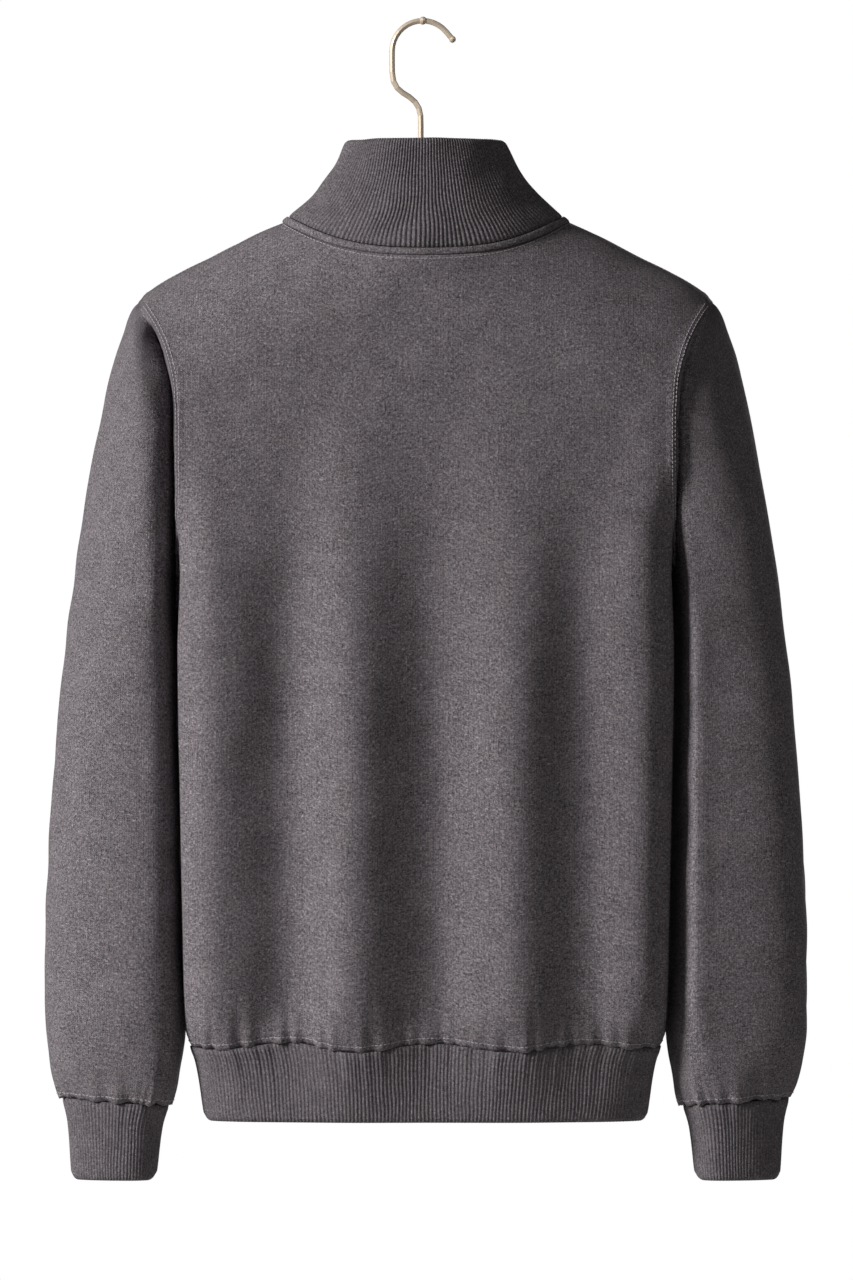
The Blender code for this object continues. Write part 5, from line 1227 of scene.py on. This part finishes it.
def lozenges(name, centres, along, up, half_sizes, material):
    """One object of many lozenges: half_sizes are half the length, width and height."""
    side = unit(np.cross(along, up))
    turn = np.arange(LOZENGE_SIDES) / LOZENGE_SIDES * math.tau
    length, width, height = half_sizes
    local = np.stack([
        np.repeat(LOZENGE[:, :1], LOZENGE_SIDES, axis=1) * length,
        LOZENGE[:, 1:] * np.cos(turn) * width, LOZENGE[:, 1:] * np.sin(turn) * height], axis=-1)
    axes = np.stack([along, side, up], axis=1)
    points = centres[:, None] + local.reshape(-1, 3) @ axes
    rings = len(LOZENGE)
    faces = face_grid(rings, LOZENGE_SIDES, True)
    last = (rings - 1) * LOZENGE_SIDES
    caps = np.array([(0, 1, 2, 3), (0, 3, 4, 5)])
    faces = np.concatenate([faces[:, ::-1], caps[:, ::-1], caps + last])
    first = points[0][faces[0]]
    facing = np.cross(first[1] - first[0], first[2] - first[1])
    if facing @ (first.mean(axis=0) - centres[0]) < 0.0:
        faces = faces[:, ::-1]
    step = rings * LOZENGE_SIDES * np.arange(len(centres))
    every = (faces[None] + step[:, None, None]).reshape(-1, 4)
    made = make_object(name, points.reshape(-1, 3), every, material)
    print(f"{name}: {len(centres)} pieces, {2 * len(every):,} triangles")
    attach(made, "jacket")


def step_off(line, ups, pitch):
    """Points, directions and normals at even steps along a line of points."""
    length = arc_length(line)
    at = np.arange(pitch / 2.0, length[-1], pitch)
    centres, normals = (np.stack([np.interp(at, length, values[:, axis]) for axis in range(3)],
                                 axis=1) for values in (line, ups))
    ahead = np.stack([np.interp(at + 0.5, length, line[:, axis])
                      - np.interp(at - 0.5, length, line[:, axis]) for axis in range(3)], axis=1)
    along = unit(ahead)
    normals = unit(normals - np.sum(normals * along, axis=1, keepdims=True) * along)
    return centres, along, normals


def inset_line(grid, normals, distance):
    """The line at a distance from a grid's first column, along its rows, with normals."""
    steps = np.linalg.norm(np.diff(grid, axis=1), axis=2)
    length = np.pad(np.cumsum(steps, axis=1), ((0, 0), (1, 0)))
    return tuple(np.array([[np.interp(distance, along, row[:, axis]) for axis in range(3)]
                           for along, row in zip(length, values)]) for values in (grid, normals))


# %% The rows of stitches
STITCH_PITCH, STITCH_HALF, STITCH_RISE = 3.3, (1.2, 0.42, 0.3), 0.15
NECK_LINE, SHOULDER_LINE, ZIP_LINES = 2.6, 2.4, (4.0, 8.0)     # distances from each seam


def sew(name, seams, distances):
    """Stitches beside each seam: seams are grids and normals whose first column is the seam."""
    found = [step_off(*inset_line(grid, normals, distance), STITCH_PITCH)
             for grid, normals in seams for distance in distances]
    centres, along, up = (np.concatenate(part) for part in zip(*found))
    lozenges(name, centres + STITCH_RISE * up + (GARMENT_X, 0.0, 0.0), along, up, STITCH_HALF,
             thread)


def swapped(grid):
    """A grid with its rows and columns exchanged."""
    return np.swapaxes(grid, 0, 1)


upper_rows = slice(2, len(UPPER_Z) - 3)
armhole_seams = [(back_outer[upper_rows], back_up[upper_rows]),
                 (back_outer[upper_rows, ::-1], back_up[upper_rows, ::-1])]
hem_seams = [(swapped(back_outer[::-1]), swapped(back_up[::-1]))]
middle_column = back_outer.shape[1] // 2
neck_columns = slice(middle_column - NECK_COLUMNS, middle_column + NECK_COLUMNS + 1)
neck_seams = [(swapped(back_outer[:, neck_columns]), swapped(back_up[:, neck_columns]))]
shoulder_seams = [(swapped(back_outer[:, part]), swapped(back_up[:, part]))
                  for part in (slice(2, middle_column - NECK_COLUMNS - 2),
                               slice(middle_column + NECK_COLUMNS + 3, -2))]
zip_seams = []
for front_outer, front_up in front_grids:
    armhole_seams.append((front_outer[upper_rows, ::-1], front_up[upper_rows, ::-1]))
    hem_seams.append((swapped(front_outer[::-1]), swapped(front_up[::-1])))
    neck_seams.append((swapped(front_outer[:, :NECK_COLUMNS + 1]),
                       swapped(front_up[:, :NECK_COLUMNS + 1])))
    zip_seams.append((front_outer, front_up))
cuff_seams = []
for sleeve_outer in sleeve_grids:
    looped = np.concatenate([sleeve_outer, sleeve_outer[:, :1]], axis=1)[::-1]
    cuff_seams.append((swapped(looped), swapped(outward_normals(looped, False))))
sew("stitches_armholes", armhole_seams, BAND_LINES)
sew("stitches_hem", hem_seams, (HEM_LINE,))
sew("stitches_neck", neck_seams, (NECK_LINE,))
sew("stitches_shoulders", shoulder_seams, (SHOULDER_LINE,))
sew("stitches_zip", zip_seams, ZIP_LINES)
sew("stitches_cuffs", cuff_seams, (CUFF_LINE,))

# %% The zip's teeth
TOOTH_PITCH, TOOTH_HALF, TOOTH_OFF, TOOTH_RISE = 1.45, (1.75, 0.62, 0.8), 0.95, 0.1
TEETH_TOP_Z, TEETH_LOW_Z = -125.5, -832.0
chain_node = bpy.data.objects["zip_chain"]
hits = [chain_node.ray_cast((GARMENT_X * MM, 0.3, z * MM), (0.0, -1.0, 0.0))
        for z in np.arange(TEETH_TOP_Z, TEETH_LOW_Z, -2.0)]
chain_line = np.array([place for hit, place, _, _ in hits if hit]) / MM
chain_up = np.array([normal for hit, _, normal, _ in hits if hit])
centres, along, up = step_off(chain_line, chain_up, TOOTH_PITCH)
across = unit(np.cross(along, up))
teeth_side = np.where(np.arange(len(centres)) % 2 == 0, -TOOTH_OFF, TOOTH_OFF)[:, None]
lozenges("zip_teeth", centres + teeth_side * across + TOOTH_RISE * up, across, up, TOOTH_HALF,
         zip_metal)

# %% [markdown]
# ## The parts that keep their shape
#
# The hanger, its hook and the zip's slider, pull, box, chain and tapes keep the imported model's
# shape and only get their finishes.

# %% The nodes that keep their shape
for node, finish in (("hanger_hook", hook_brass), ("hanger_body", varnished_wood),
                     ("zip_slider", zip_metal), ("zip_pull", zip_metal), ("zip_box", zip_metal),
                     ("zip_chain", tape_weave), ("zip_tape_left", tape_weave),
                     ("zip_tape_right", tape_weave)):
    held = bpy.data.objects[node]
    held.data.materials.clear()
    held.data.materials.append(finish)

# %% [markdown]
# ## Light and camera
#
# A large soft light on the left rakes across the folds. A much weaker one on the right lifts the
# other side, a third behind the jacket lights its front, and the pale surroundings fill the
# shadows a little.

# %% Light
def area_light(name, place, target, size, watts):
    """A square area light that faces a point."""
    data = bpy.data.lights.new(name, "AREA")
    data.shape, data.size, data.energy = "SQUARE", size, watts
    lamp = bpy.data.objects.new(name, data)
    bpy.context.scene.collection.objects.link(lamp)
    lamp.location = place
    lamp.rotation_euler = (Vector(target) - Vector(place)).to_track_quat("-Z", "Y").to_euler()


area_light("key", (-6.6, -3.3, 2.2), (0.0, 0.0, -0.45), 2.2, 900.0)
area_light("side_fill", (2.6, -2.6, 1.3), (0.1, 0.0, -0.3), 1.2, 14.0)
area_light("front_fill", (0.8, 3.4, -0.5), (0.0, 0.0, -0.5), 1.6, 50.0)
world = bpy.data.worlds.new("studio")
bpy.context.scene.world = world
world.use_nodes = True
air = world.node_tree
seen = air.nodes["Background"]
seen.inputs["Color"].default_value = (1.0, 1.0, 1.0, 1.0)
seen.inputs["Strength"].default_value = 1.0
fill = add_node(air, "ShaderNodeBackground")
fill.inputs["Color"].default_value = (1.0, 0.98, 0.99, 1.0)
fill.inputs["Strength"].default_value = 0.05
ray = add_node(air, "ShaderNodeLightPath")
mixed = add_node(air, "ShaderNodeMixShader")
air.links.new(ray.outputs["Is Camera Ray"], mixed.inputs[0])
air.links.new(fill.outputs[0], mixed.inputs[1])
air.links.new(seen.outputs[0], mixed.inputs[2])
air.links.new(mixed.outputs[0], air.nodes["World Output"].inputs["Surface"])

# %% Floor
floor_mesh = bpy.data.meshes.new("floor")
FLOOR_HALF, FLOOR_Z = 1.6, -1.55
floor_mesh.from_pydata([(x * FLOOR_HALF, y * FLOOR_HALF, FLOOR_Z)
                        for x, y in ((-1, -1), (1, -1), (1, 1), (-1, 1))], [], [(0, 1, 2, 3)])
pale, _, pale_shader = shader_of("pale_floor")
pale_shader.inputs["Base Color"].default_value = (0.7, 0.7, 0.7, 1.0)
pale_shader.inputs["Roughness"].default_value = 0.9
floor_mesh.materials.append(pale)
floor = bpy.data.objects.new("floor", floor_mesh)
bpy.context.scene.collection.objects.link(floor)

# %% Camera
PICTURE_HEIGHT, DISTANCE, SENSOR = 0.9856, 7.0, 36.0
MIDDLE_X, MIDDLE_Z = 0.0030, -0.4737
camera_data = bpy.data.cameras.new("camera")
camera_data.sensor_fit = "AUTO"
camera_data.sensor_width = SENSOR
camera_data.lens = SENSOR * DISTANCE / PICTURE_HEIGHT
camera_data.clip_end = 60.0
camera = bpy.data.objects.new("camera", camera_data)
bpy.context.scene.collection.objects.link(camera)
camera.location = (MIDDLE_X, -DISTANCE, MIDDLE_Z)
camera.rotation_euler = (math.pi / 2, 0.0, 0.0)
bpy.context.scene.camera = camera
bpy.context.scene.view_settings.view_transform = "Standard"
